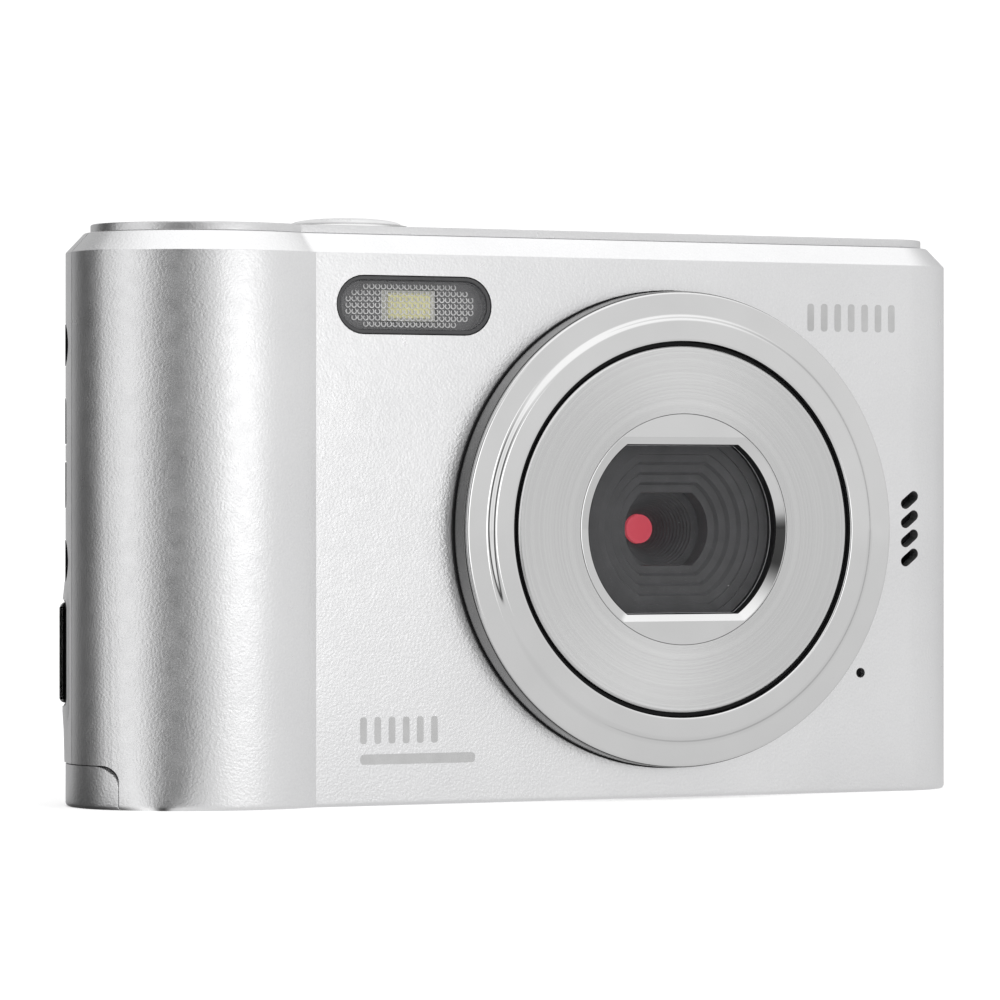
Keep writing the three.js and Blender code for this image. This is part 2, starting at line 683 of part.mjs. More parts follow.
function buildBatteryDoor() {
  const outer = bodySolid.intersect(solid(prismAlongX(doorOutline(0), gripEnd - 5, hingeX)));
  const inside = prism(bodyOutline(wall), 1.8, doorTabHeight + 1);
  const knuckleRound = circle(hingeX, hingeZ, hingeInset, 24);
  const knuckle = solid(prismAlongY(knuckleRound, slotsAtY[0] + 0.7, slotsAtY[1] - 0.7));
  const armNotches = slotsAtY.map((y) =>
    box(hingeX - 1.8, doorRightX + 1, y - armWidth / 2 - running, y + armWidth / 2 + running, -1, 3));
  const edgeNotches = [
    box(hingeX - 1.8, doorRightX + 1, doorFrontY - 1, slotsAtY[0], -1, 3),
    box(hingeX - 1.8, doorRightX + 1, slotsAtY[1], doorBackY + 1, -1, 3),
  ];
  const bore = barAlongY(hingePinRadius + running, doorFrontY - 1, doorBackY + 1, hingeX, hingeZ, 20);
  const corner = box(hingeX, hingeX + 5, 0, bodyDepth, -1, 5);
  const panel = cut(outer, inside, corner, box(hingeX - 1.1, hingeX + 1, 0, bodyDepth, 1.8, 5));
  const door = cut(panel.add(knuckle), ...armNotches, ...edgeNotches, bore);
  add("battery_door", door, "silverPaint");
}

function buildDoorSlider() {
  const plateZ = floorThickness + 0.3;
  const bridge = solid(box(hingeX - 0.9, hingeX + 6, slotsAtY[0] - armWidth / 2, slotsAtY[1] + armWidth / 2,
    plateZ, plateZ + 0.6));
  const arms = slotsAtY.map((y) =>
    solid(box(hingeX - 0.9, hingeX + 0.85, y - armWidth / 2, y + armWidth / 2, 0.15, plateZ + 0.6)));
  const pinHole = barAlongY(hingePinRadius + 0.05, doorFrontY - 1, doorBackY + 1, hingeX, hingeZ, 20);
  add("door_slider", cut(bridge.add(arms[0]).add(arms[1]), pinHole), "steel");
  add("hinge_pin", prismAlongY(circle(hingeX, hingeZ, hingePinRadius, 20), slotsAtY[0] - armWidth / 2,
    slotsAtY[1] + armWidth / 2), "steel");
}

const bay = { x0: -16.2, x1: 16.4, y0: 2.9, y1: 15.9, z0: 4.4, z1: 46.2 };
const batterySize = { x0: -15.2, x1: 14.8, y0: 8.9, y1: 15.1, z0: 4.9, z1: 43.4 };
const cardSize = { x0: -9, x1: 15, y0: 4.7, y1: 6.8, z0: 4.9, z1: 36.9 };
const bayClearance = 0.25;

// The shaft that a battery or card slides into, open towards the door.
function shaft(size) {
  return box(size.x0 - bayClearance, size.x1 + bayClearance, size.y0 - bayClearance, size.y1 + bayClearance,
    bay.z0 - 1, size.z1 + bayClearance);
}

function buildBatteryBay() {
  const outer = solid(box(bay.x0, bay.x1, bay.y0, bay.y1, bay.z0, bay.z1));
  const inShell = outer.intersect(solid(prism(bodyOutline(wall + 0.15), 0, 60)));
  const terminals = { positive: -9, negative: 9 };
  const contactSlots = Object.values(terminals).map((x) =>
    box(x - 1.4, x + 1.4, 11, 13, bay.z1 - 5, bay.z1 + 1));
  const flashRelief = box(flashX - 8.5, flashX + 8.5, 0, 8, flashZ - 4.2, flashZ + 4);
  add("battery_bay", cut(inShell, shaft(batterySize), shaft(cardSize), flashRelief, ...contactSlots),
    "blackPlastic");
  const { x0, x1, y0, y1 } = batterySize;
  const batteryOutline = roundedRectangle((x0 + x1) / 2, (y0 + y1) / 2, x1 - x0, y1 - y0, 1.6);
  add("battery", prism(batteryOutline, batterySize.z0, batterySize.z1), "batteryWrap");
  const card = cardSize;
  const notch = box(card.x1 - 4, card.x1 + 1, card.y0 - 1, card.y1 + 1, card.z1 - 4, card.z1 + 1);
  add("memory_card", cut(solid(box(card.x0, card.x1, card.y0, card.y1, card.z0, card.z1)), notch),
    "batteryWrap");
  for (const [name, x] of Object.entries(terminals)) {
    const strip = box(x - 1, x + 1, 11.6, 12.4, batterySize.z1 + 0.1, bay.z1 - 0.4);
    add(`battery_contact_${name}`, strip, "brass");
  }
}

// ---- electronics --------------------------------------------------------------------------------
function buildElectronics() {
  add("sensor_board", box(lensX - 8, lensX + 8, 13, 13.8, lensZ - 8, lensZ + 8), "board");
  add("main_board", box(18.2, 66, 14.2, 15, 6, 50), "board");
  add("processor", box(48, 58, 12.9, 14.1, 34, 44), "blackPlastic");
  add("speaker", barAlongY(4.2, 1.8, 4.6, 62.6, 26.7, 24), "blackPlastic");
  add("microphone", barAlongY(2, 1.9, 3.6, microphoneX, microphoneZ, 16), "steel");
  const portOutside = roundedRectangle(portY, portZ, portHeight, portWidth, 0.5);
  const portInside = roundedRectangle(portY, portZ, portHeight - 0.7, portWidth - 0.7, 0.4);
  const port = cut(
    solid(prismAlongX(portOutside, rightEnd - 6.2, rightEnd - 0.15)),
    prismAlongX(portInside, rightEnd - 5.4, rightEnd + 1),
  );
  add("usb_port", port, "steel");
}

// ---- back ---------------------------------------------------------------------------------------
function buildBack() {
  add("screen_window", prismAlongY(roundedRectangle(screenX, screenZ, screenWidth, screenHeight, 1.9),
    bodyDepth - 1.1, bodyDepth - 0.05), "darkGlass");
  add("display_panel", prismAlongY(roundedRectangle(screenX, screenZ, screenWidth - 5, screenHeight - 5, 0.8),
    bodyDepth - 3.4, bodyDepth - 1.3), "darkGlass");
  for (const [name, key] of Object.entries(backKeys)) {
    const profile = [[0, bodyDepth - 1.8], [key.radius, bodyDepth - 1.8], [key.radius, bodyDepth + 0.3],
      [key.radius - 0.25, bodyDepth + backKeyProud], [0, bodyDepth + backKeyProud]];
    add(name, turnedAlongY(profile, key.x, key.z, 24), "silverPaint");
  }
  const pad = [
    [okRadius + running, bodyDepth - 1.8], [padRadius, bodyDepth - 1.8], [padRadius, bodyDepth + 0.25],
    [padRadius - 0.4, bodyDepth + backKeyProud], [okRadius + running, bodyDepth + backKeyProud],
    [okRadius + running, bodyDepth - 1.8],
  ];
  add("navigation_pad", turnedAlongY(pad, keyColumnX, padZ, 40), "silverPaint");
  const ok = [[0, bodyDepth - 1.8], [okRadius, bodyDepth - 1.8], [okRadius, bodyDepth + 0.2],
    [okRadius - 0.25, bodyDepth + 0.35], [0, bodyDepth + 0.35]];
  add("ok_key", turnedAlongY(ok, keyColumnX, padZ, 24), "silverPaint");
  add("status_light", barAlongY(0.5, bodyDepth - 1.6, bodyDepth - 0.1, keyColumnX, statusZ, 12),
    "clearPlastic");
  add("back_key_board",
    box(keyColumnX - 6.4, keyColumnX + 6.4, bodyDepth - 3.2, bodyDepth - 2.4, 9, 46.5), "board");
}

buildFrontShell();
buildRearShell();
buildTopPlate();
buildFasteners();
buildLensTrim();
buildBaffle();
buildOptics();
buildFlash();
buildTopControls();
buildEndKeys();
buildStrapLug();
buildBatteryDoor();
buildDoorSlider();
buildBatteryBay();
buildElectronics();
buildBack();

export default camera;
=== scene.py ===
"""A compact digital camera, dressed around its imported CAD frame. Metres, +Z up, the front faces -Y."""

import json
import math

import bmesh
import bpy
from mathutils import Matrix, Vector


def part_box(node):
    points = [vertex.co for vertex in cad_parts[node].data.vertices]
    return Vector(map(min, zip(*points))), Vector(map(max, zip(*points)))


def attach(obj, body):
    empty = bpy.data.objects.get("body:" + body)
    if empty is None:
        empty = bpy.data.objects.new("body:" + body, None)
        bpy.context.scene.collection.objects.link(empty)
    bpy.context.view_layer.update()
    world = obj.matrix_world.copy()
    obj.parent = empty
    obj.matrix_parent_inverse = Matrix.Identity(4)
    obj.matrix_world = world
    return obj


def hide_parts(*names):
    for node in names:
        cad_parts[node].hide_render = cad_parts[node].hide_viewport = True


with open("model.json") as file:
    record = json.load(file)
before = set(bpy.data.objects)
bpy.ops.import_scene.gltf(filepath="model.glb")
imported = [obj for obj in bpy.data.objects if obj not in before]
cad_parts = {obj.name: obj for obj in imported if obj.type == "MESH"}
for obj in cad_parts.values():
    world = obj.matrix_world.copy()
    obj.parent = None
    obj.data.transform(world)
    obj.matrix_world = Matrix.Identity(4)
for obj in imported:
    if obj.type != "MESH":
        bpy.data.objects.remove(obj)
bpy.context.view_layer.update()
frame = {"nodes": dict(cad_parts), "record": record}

MM = 0.001
QUARTER = math.pi / 2

# ---- places, from the frame --------------------------------------------------------------------
# Shapes are drawn in millimetres, with X from the crease beside the grip, Y from the front face and
# Z from the base, and `placed` turns such a point into the frame's metres.
RIGHT_END = 72.35
ORIGIN = Vector((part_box("front_shell")[1].x - RIGHT_END * MM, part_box("flash_bezel")[0].y, 0.0))


def placed(x, y, z):
    return (ORIGIN.x + x * MM, ORIGIN.y + y * MM, ORIGIN.z + z * MM)


def span(node):
    """A CAD node's lowest and highest corners in drawing millimetres."""
    low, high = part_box(node)
    return (low - ORIGIN) / MM, (high - ORIGIN) / MM


def extent(node):
    """A CAD node's lowest and highest corners and its middle."""
    low, high = span(node)
    return low, high, (low + high) / 2


def middle(node):
    return extent(node)[2]


def length(node):
    """A CAD node's size along X."""
    low, high = span(node)
    return high.x - low.x


BODY_DEPTH = span("rear_shell")[1].y
PARTING_Y = (span("front_shell")[1].y + span("rear_shell")[0].y) / 2
PARTING_GAP = 0.1
SHELL_TOP = span("front_shell")[1].z
PLATE_BOTTOM, PLATE_TOP = span("top_plate")[0].z, span("top_plate")[1].z
CHAMFER_RISE = 1.9
CHAMFER_INSET = 1.8
WALL_TOP = SHELL_TOP - CHAMFER_RISE
PLATE_INSET = 2.4
WALL = 1.6
FLOOR_THICKNESS = 2.0

GRIP_ARC = 16.0
GRIP_Y = 14.5
GRIP_X = -math.sqrt(GRIP_ARC ** 2 - GRIP_Y ** 2)
END_FRONT_RADIUS = 8.3
END_FRONT_X = GRIP_X - math.sqrt((GRIP_ARC - END_FRONT_RADIUS) ** 2 - (GRIP_Y - PARTING_Y) ** 2)
GRIP_END = END_FRONT_X - END_FRONT_RADIUS
END_REAR_RADIUS = BODY_DEPTH - PARTING_Y
END_REAR_X = GRIP_END + END_REAR_RADIUS
FRONT_CORNER = 7.0
REAR_CORNER = 6.0

TRIM_LOW, TRIM_HIGH, LENS = extent("lens_ring")
TRIM_FRONT, TRIM_BACK = TRIM_LOW.y, TRIM_HIGH.y
RING_RADIUS = length("lens_ring") / 2
DISC_RADIUS = length("lens_disc") / 2
INSERT_RADIUS = length("window_insert") / 2
WINDOW_RADIUS = 10.4
WINDOW_HALF_HEIGHT = 8.4

FLASH = middle("flash_bezel")
FLASH_LENGTH = length("flash_bezel")
FLASH_HEIGHT = span("flash_bezel")[1].z - span("flash_bezel")[0].z

# ---- outlines ----------------------------------------------------------------------------------


def arc(x, y, radius, start, end, steps):
    angles = [start + (end - start) * i / steps for i in range(steps + 1)]
    return [(x + radius * math.cos(a), y + radius * math.sin(a)) for a in angles]


def body_outline(inset):
    """The body's plan outline, drawn in from the outer surface by `inset`."""
    turn = 2 * math.pi
    crease_x = GRIP_X + math.sqrt((GRIP_ARC - inset) ** 2 - (GRIP_Y - inset) ** 2)
    join = math.atan2(PARTING_Y - GRIP_Y, END_FRONT_X - GRIP_X) + turn
    crease = math.atan2(inset - GRIP_Y, crease_x - GRIP_X) + turn
    return (
        arc(RIGHT_END - FRONT_CORNER, FRONT_CORNER, FRONT_CORNER - inset, -QUARTER, 0, 16)
        + arc(RIGHT_END - REAR_CORNER, BODY_DEPTH - REAR_CORNER, REAR_CORNER - inset, 0, QUARTER, 14)
        + arc(END_REAR_X, PARTING_Y, END_REAR_RADIUS - inset, QUARTER, math.pi, 22)
        + arc(END_FRONT_X, PARTING_Y, END_FRONT_RADIUS - inset, math.pi, join, 10)[1:]
        + arc(GRIP_X, GRIP_Y, GRIP_ARC - inset, join, crease, 26)[1:]
    )


def circle(x, y, radius, steps=48):
    return arc(x, y, radius, 0, 2 * math.pi, steps)[:-1]


def stadium(x, y, length, height, steps=16):
    radius = height / 2
    reach = length / 2 - radius
    return (arc(x + reach, y, radius, -QUARTER, QUARTER, steps)
            + arc(x - reach, y, radius, QUARTER, 3 * QUARTER, steps))


def rounded_rectangle(x, y, width, height, radius, steps=8):
    across = width / 2 - radius
    up = height / 2 - radius
    corners = [(across, -up), (across, up), (-across, up), (-across, -up)]
    points = []
    for i, (dx, dy) in enumerate(corners):
        points += arc(x + dx, y + dy, radius, (i - 1) * QUARTER, i * QUARTER, steps)
    return points


def window_outline(radius, half_height, steps=40):
    """A circle about the lens axis with its top and bottom cut off flat."""
    angle = math.asin(half_height / radius)
    return (arc(LENS.x, LENS.z, radius, -angle, angle, steps)
            + arc(LENS.x, LENS.z, radius, math.pi - angle, math.pi + angle, steps))


# ---- meshes ------------------------------------------------------------------------------------


def object_from(bm, name):
    """A new object with the mesh that a bmesh holds."""
    mesh = bpy.data.meshes.new(name)
    bm.to_mesh(mesh)
    bm.free()
    obj = bpy.data.objects.new(name, mesh)
    bpy.context.scene.collection.objects.link(obj)
    return obj


def mesh_object(name, build):
    """A new object whose mesh `build` fills in a bmesh, in drawing millimetres."""
    bm = bmesh.new()
    build(bm)
    bmesh.ops.recalc_face_normals(bm, faces=bm.faces)
    for vertex in bm.verts:
        vertex.co = placed(*vertex.co)
    return object_from(bm, name)


def along_z(point, height):
    return (point[0], point[1], height)


def along_y(point, depth):
    return (point[0], depth, point[1])


def along_x(point, reach):
    return (reach, point[0], point[1])


def add_loft(bm, levels, way=along_z):
    """Joins closed outlines with equal point counts, each with its own height, into one solid."""
    rings = [[bm.verts.new(way(point, height)) for point in outline] for outline, height in levels]
    for lower, upper in zip(rings, rings[1:]):
        for i in range(len(lower)):
            j = (i + 1) % len(lower)
            bm.faces.new((lower[i], lower[j], upper[j], upper[i]))
    bm.faces.new(list(reversed(rings[0])))
    bm.faces.new(rings[-1])


def loft(name, levels, way=along_z):
    return mesh_object(name, lambda bm: add_loft(bm, levels, way))


def prism(name, outline, start, end, way=along_z):
    return loft(name, [(outline, start), (outline, end)], way)


def add_turned(bm, profile, x, z, segments, closed):
    """Turns a profile of (radius, y) points about the axis along Y through (x, z)."""
    rings = []
    for radius, y in profile:
        if radius < 1e-6:
            rings.append([bm.verts.new((x, y, z))])
        else:
            rings.append([bm.verts.new((px, y, pz)) for px, pz in circle(x, z, radius, segments)])
    pairs = list(zip(rings, rings[1:]))
    if closed:
        pairs.append((rings[-1], rings[0]))
    for one, two in pairs:
        for i in range(segments):
            j = (i + 1) % segments
            corners = [one[i % len(one)], one[j % len(one)], two[j % len(two)], two[i % len(two)]]
            face = list(dict.fromkeys(corners))
            if len(face) > 2:
                bm.faces.new(face)


def turned(name, profile, x, z, segments, closed):
    return mesh_object(name, lambda bm: add_turned(bm, profile, x, z, segments, closed))


def turned_up(name, profile, x, y, segments):
    """Turns a profile of (radius, z) points about the axis along Z through (x, y)."""

    def build(bm):
        add_turned(bm, profile, 0, 0, segments, closed=False)
        for vertex in bm.verts:
            vertex.co = (x + vertex.co.x, y - vertex.co.z, vertex.co.y)

    return mesh_object(name, build)


def joined(name, parts):
    """One object from several, in place of them."""
    bm = bmesh.new()
    for part in parts:
        bm.from_mesh(part.data)
        bpy.data.objects.remove(part)
    return object_from(bm, name)


def bake_modifiers(obj):
    """Replaces an object's mesh by what its modifiers make of it."""
    bpy.context.view_layer.update()
    graph = bpy.context.evaluated_depsgraph_get()
    mesh = bpy.data.meshes.new_from_object(obj.evaluated_get(graph))
    obj.modifiers.clear()
    obj.data = mesh


def combine(obj, tool, operation="DIFFERENCE"):
    modifier = obj.modifiers.new(operation, "BOOLEAN")
    modifier.operation = operation
    modifier.solver = "EXACT"
    modifier.object = tool
    bake_modifiers(obj)
    bpy.data.objects.remove(tool)


def bevel(obj, width, segments=2):
    """Adds a modifier that rounds an object's sharp edges by `width` millimetres."""
    modifier = obj.modifiers.new("edges", "BEVEL")
    modifier.width = width * MM
    modifier.segments = segments
    modifier.limit_method = "ANGLE"
    modifier.angle_limit = math.radians(50)
    return modifier


def soften(obj, width=0.1, segments=2, smooth=22):
    """Rounds an object's sharp edges, unless `width` is 0, and smooths its shading."""
    if width:
        bevel(obj, width, segments).miter_outer = "MITER_ARC"
        bake_modifiers(obj)
    obj.data.shade_smooth()
    obj.data.set_sharp_from_angle(angle=math.radians(smooth))
    weighted = obj.modifiers.new("normals", "WEIGHTED_NORMAL")
    weighted.keep_sharp = True
    return obj


# ---- materials ---------------------------------------------------------------------------------


class Tree:
    """A node tree and short ways to add nodes to it."""

    def __init__(self, tree):
        self.tree = tree

    def put(self, value, socket):
        """Links `value` to a socket if it is one itself, or else sets it there."""
        if isinstance(value, bpy.types.NodeSocket):
            self.tree.links.new(value, socket)
        else:
            socket.default_value = value

    def add(self, kind, inputs=None, **settings):
        """A new node. `inputs` holds a value or a socket for the name or number of each input."""
        node = self.tree.nodes.new("ShaderNode" + kind)
        for key, value in settings.items():
            setattr(node, key, value)
        for key, value in (inputs or {}).items():
            self.put(value, node.inputs[key])
        return node

    def math(self, operation, *values):
        return self.add("Math", dict(enumerate(values)), operation=operation).outputs[0]

    def parts(self, vector):
        return self.add("SeparateXYZ", {0: vector}).outputs

    def ramp(self, value, stops):
        """A colour for `value`, from (place, grey or colour) pairs."""
        node = self.add("ValToRGB", {"Fac": value})
        elements = node.color_ramp.elements
        while len(elements) < len(stops):
            elements.new(0.5)
        for element, (place, colour) in zip(elements, stops):
            element.position = place
            element.color = (*colour, 1) if isinstance(colour, tuple) else (colour, colour, colour, 1)
        return node.outputs["Color"]


class Nodes(Tree):
    """A new material and its node tree. Keywords set inputs of its shader."""

    def __init__(self, name, **settings):
        self.material = bpy.data.materials.new(name)
        self.material.use_nodes = True
        super().__init__(self.material.node_tree)
        self.shader = self.tree.nodes["Principled BSDF"]
        for key, value in settings.items():
            self.shader.inputs[key.replace("_", " ")].default_value = value
        self.where = self.add("TexCoord").outputs["Object"]

    def noise(self, scale, detail=3, roughness=0.5, vector=None):
        inputs = {"Scale": scale, "Detail": detail, "Roughness": roughness, "Vector": vector or self.where}
        return self.add("TexNoise", inputs).outputs["Fac"]

    def spread(self, value, low, high):
        """Stretches the middle half of a noise's range over `low` to `high`."""
        inputs = {"Value": value, "From Min": 0.25, "From Max": 0.75, "To Min": low, "To Max": high}
        return self.add("MapRange", inputs).outputs["Result"]

    def colour(self, socket):
        self.put(socket, self.shader.inputs["Base Color"])

    def roughness(self, socket):
        self.put(socket, self.shader.inputs["Roughness"])

    def mottle(self, scale, detail, dark, light):
        """Colours the surface unevenly, from `dark` to `light`."""
        self.colour(self.ramp(self.noise(scale, detail), [(0.3, dark), (0.7, light)]))

    def wear(self, scale, detail, low, high):
        """Makes the surface unevenly rough, from `low` to `high`."""
        self.roughness(self.spread(self.noise(scale, detail), low, high))

    def bump(self, height, distance, strength):
        """Roughens the surface by `distance` millimetres."""
        inputs = {"Height": height, "Distance": distance * MM, "Strength": strength}
        self.put(self.add("Bump", inputs).outputs["Normal"], self.shader.inputs["Normal"])

    def from_axis(self, centre):
        """Distance in millimetres from the axis along Y through the drawing point `centre`."""
        x, _, z = placed(centre.x, 0, centre.z)
        parts = self.parts(self.where)
        dx = self.math("SUBTRACT", parts["X"], x)
        dz = self.math("SUBTRACT", parts["Z"], z)
        square = self.math("ADD", self.math("MULTIPLY", dx, dx), self.math("MULTIPLY", dz, dz))
        return self.math("MULTIPLY", self.math("SQRT", square), 1 / MM)


def scaled(colour, factor):
    return tuple(part * factor for part in colour)


def silver_paint(name="silver_paint", tone=1.0):
    """Satin silver spray paint with a fine leather-like grain."""
    n = Nodes(name, Metallic=0.9)
    flake = n.noise(5200, 2, 0.6)
    cloud = n.noise(60, 3)
    low, high = 0.76 * tone, 0.85 * tone
    shade = n.math("ADD", n.math("MULTIPLY", flake, 0.4), n.math("MULTIPLY", cloud, 0.6))
    n.colour(n.ramp(shade, [(0.3, (low, low, low * 1.01)), (0.7, (high, high, high * 1.006))]))
    n.wear(700, 3, 0.27, 0.34)
    n.bump(n.noise(4000, 2, 0.5), 0.029, 0.8)
    return n.material


def chrome(name="bright_chrome", tone=0.72, low=0.03, high=0.08):
    n = Nodes(name, Metallic=1.0)
    n.mottle(160, 2, tone * 0.96, tone)
    n.wear(420, 4, low, high)
    n.bump(n.noise(60, 2), 0.01, 0.15)
    return n.material


def spun_metal():
    """Metal faced in fine circles on a lathe."""
    n = Nodes("spun_metal", Metallic=1.0, Anisotropic=0.82, Anisotropic_Rotation=0.0)
    outward = n.add("CombineXYZ", {0: n.from_axis(LENS)}).outputs[0]
    rings = n.noise(5.2, 5, 0.75, outward)
    broad = n.noise(0.9, 2, 0.5, outward)
    tone = n.math("ADD", n.math("MULTIPLY", rings, 0.7), n.math("MULTIPLY", broad, 0.3))
    n.colour(n.ramp(tone, [(0.32, 0.56), (0.68, 0.69)]))
    n.roughness(n.spread(rings, 0.2, 0.3))
    n.bump(rings, 0.02, 0.35)
    tangent = n.add("Tangent", direction_type="RADIAL", axis="Y")
    n.put(tangent.outputs[0], n.shader.inputs["Tangent"])
    return n.material


def plastic(name, colour, low=0.35, high=0.5, grain=900, depth=0.02, shine=0.5):
    n = Nodes(name, Specular_IOR_Level=shine)
    n.mottle(300, 4, scaled(colour, 0.85), colour)
    n.wear(500, 3, low, high)
    n.bump(n.noise(grain, 3), depth, 0.5)
    return n.material


def clear(name, alpha, tint=(0.95, 0.97, 0.98), shine=0.5):
    """Clear moulded plastic, seen as a thin skin."""
    n = Nodes(name, Alpha=alpha, IOR=1.49, Specular_IOR_Level=shine)
    n.mottle(200, 2, scaled(tint, 0.97), tint)
    n.wear(350, 3, 0.03, 0.07)
    return n.material


def dark_glass(name="dark_glass", colour=(0.008, 0.009, 0.011)):
    n = Nodes(name, IOR=1.5, Coat_Weight=0.3, Coat_Roughness=0.03)
    n.mottle(80, 2, colour, scaled(colour, 1.6))
    n.wear(260, 4, 0.04, 0.1)
    return n.material


def coated_glass():
    """The lens seen through its coating: an even coral red, paler towards its edge, with a painted glow. Its
    red emission stands in for light that reaches the lens through the window.
    """
    # Painted glow: the emission makes the lens shine though it is no lamp.
    n = Nodes("coated_glass", Specular_IOR_Level=0.2, Emission_Strength=0.38,
              Emission_Color=(0.85, 0.09, 0.13, 1))
    distance = n.from_axis(LENS)
    mottle = n.math("ADD", n.math("MULTIPLY", distance, 0.6), n.math("MULTIPLY", n.noise(1500, 2), 0.1))
    coral = [(0.0, (0.72, 0.06, 0.10)), (0.7, (0.74, 0.07, 0.115)), (0.95, (0.85, 0.13, 0.18))]
    n.colour(n.ramp(mottle, coral))
    n.wear(900, 2, 0.35, 0.5)
    return n.material


def baffle_plastic():
    """Matt dark plastic with a few specks of dust."""
    n = Nodes("baffle_plastic", Specular_IOR_Level=0.3)
    specks = n.add("TexVoronoi", {"Scale": 420, "Vector": n.where}, feature="F1")
    dust = n.math("LESS_THAN", specks.outputs["Distance"], 0.03)
    base = n.ramp(n.noise(500, 3), [(0.3, (0.07, 0.07, 0.072)), (0.7, (0.084, 0.084, 0.087))])
    mix = n.add("Mix", {"Factor": dust, "A": base, "B": (0.5, 0.5, 0.5, 1)}, data_type="RGBA")
    n.colour(mix.outputs["Result"])
    n.wear(800, 2, 0.55, 0.7)
    n.bump(n.noise(2600, 2), 0.02, 0.5)
    return n.material


def brushed(name, colour, low=0.25, high=0.42):
    n = Nodes(name, Metallic=1.0)
    drawn_out = n.add("Mapping", {"Scale": (1, 1, 0.06), "Vector": n.where}).outputs["Vector"]
    streaks = n.noise(900, 4, 0.6, drawn_out)
    n.colour(n.ramp(streaks, [(0.3, scaled(colour, 0.8)), (0.7, colour)]))
    n.roughness(n.spread(streaks, low, high))
    n.bump(streaks, 0.01, 0.3)
    return n.material


def circuit_board():
    n = Nodes("circuit_board", Coat_Weight=0.3, Coat_Roughness=0.2)
    tracks = n.add("TexBrick", {
        "Vector": n.where, "Scale": 380, "Color1": (0.012, 0.10, 0.045, 1), "Color2": (0.016, 0.13, 0.06, 1),
        "Mortar": (0.03, 0.2, 0.09, 1),
    })
    n.colour(tracks.outputs["Color"])
    n.wear(300, 2, 0.35, 0.5)
    return n.material


MATERIALS = {
    "silver_paint": silver_paint(),
    "chrome": chrome(),
    "spun_metal": spun_metal(),
    "black_plastic": plastic("black_plastic", (0.012, 0.012, 0.013), 0.45, 0.6, shine=0.15),
    "baffle": baffle_plastic(),
    "clear_plastic": clear("clear_plastic", 0.22),
    "dark_glass": dark_glass(),
    "coated_glass": coated_glass(),
    "steel": brushed("plain_steel", (0.62, 0.62, 0.63)),
    "brass": brushed("bush_brass", (0.78, 0.6, 0.32)),
    "circuit_board": circuit_board(),
    "phosphor": plastic("led_phosphor", (0.97, 0.93, 0.46), 0.5, 0.6, 2500, 0.02),
    "white_plastic": plastic("led_package", (0.88, 0.88, 0.80), 0.3, 0.4),
    "battery_wrap": plastic("battery_wrap", (0.035, 0.045, 0.06), 0.3, 0.42),
}


def dress(obj, slot, body="camera_body", replaces=None, material=None):
    obj.data.materials.clear()
    obj.data.materials.append(material or MATERIALS[slot])
    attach(obj, body)
    if replaces:
        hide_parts(replaces)
    return obj


def dress_cad_nodes():
    """Every CAD node that stays gets its slot's material and soft edges."""
    for part in frame["record"]["subparts"]:
        obj = frame["nodes"][part["node"]]
        obj.data.materials.clear()
        obj.data.materials.append(MATERIALS[part["material_slot"]])
        bevel(obj, 0.06)


# ---- shells ------------------------------------------------------------------------------------

LIP = 0.35


def body_levels():
    """The body's side from the base up, as (inset, height): a small round lip, the wall and the chamfer."""
    lip = [(LIP * (1 - math.sin(t * QUARTER / 6)), LIP * (1 - math.cos(t * QUARTER / 6))) for t in range(7)]
    wall = [(0, LIP + 0.2)]
    shoulder = [(inset, WALL_TOP + rise)
                for inset, rise in ((0, -0.06), (0.008, -0.02), (0.03, 0.02), (0.06, 0.06))]
    brow = [(CHAMFER_INSET - 0.12, SHELL_TOP - 0.12), (CHAMFER_INSET - 0.04, SHELL_TOP - 0.04),
            (CHAMFER_INSET + 0.06, SHELL_TOP)]
    return lip + wall + shoulder + brow


def outer_body(name):
    return loft(name, [(body_outline(inset), z) for inset, z in body_levels()])


def hollow_body(name):
    body = outer_body(name)
    levels = [(WALL, FLOOR_THICKNESS), (WALL, WALL_TOP - 0.6), (WALL + 1.2, SHELL_TOP - 1.5)]
    combine(body, loft("cavity", [(body_outline(inset), z) for inset, z in levels]))
    return body


def flash_outline(inset, steps=24):
    """The flash's oblong, drawn in by `inset` all round."""
    return stadium(FLASH.x, FLASH.z, FLASH_LENGTH - 2 * inset, FLASH_HEIGHT - 2 * inset, steps)


def slab(name, x0, x1, y0, y1, z0, z1):
    return prism(name, [(x0, y0), (x1, y0), (x1, y1), (x0, y1)], z0, z1)


def skin(name, outer, inner, z0, z1):
    """A slab that follows the body's outer surface, from `outer` to `inner` below that surface."""
    shell = prism(name, body_outline(outer), z0, z1)
    combine(shell, prism("inside", body_outline(inner), z0 - 1, z1 + 1))
    return shell


DOOR_LOW, DOOR_HIGH = span("battery_door")
DOOR_CORNER = 2.1
RUNNING = 0.15


def door_outline(clearance, corner):
    """The battery door seen from the grip's end, with the top corners of its tab rounded."""
    bottom = -3
    height = DOOR_HIGH.z + clearance - bottom
    return rounded_rectangle((DOOR_LOW.y + DOOR_HIGH.y) / 2, bottom + height / 2,
                             DOOR_HIGH.y - DOOR_LOW.y + 2 * clearance, height, corner, 12)


def door_space():
    return prism("door_space", door_outline(0.1, 1.5), GRIP_END - 5, DOOR_HIGH.x + RUNNING, along_x)


SHUTTER_STEM = 1.6
POWER_STEM = 1.0
STEM_CLEARANCE = 0.3


def top_holes():
    holes = []
    for node, stem in (("shutter_button", SHUTTER_STEM), ("power_button", POWER_STEM)):
        button = middle(node)
        outline = circle(button.x, button.y, stem + STEM_CLEARANCE)
        holes.append(prism("stem_hole", outline, SHELL_TOP - 3, SHELL_TOP + 1))
    return holes


BUSH_NOSE = 4.4


def bush_hole():
    bush = middle("tripod_bush")
    return prism("bush_hole", circle(bush.x, bush.y, BUSH_NOSE + 0.1), -1, 3)


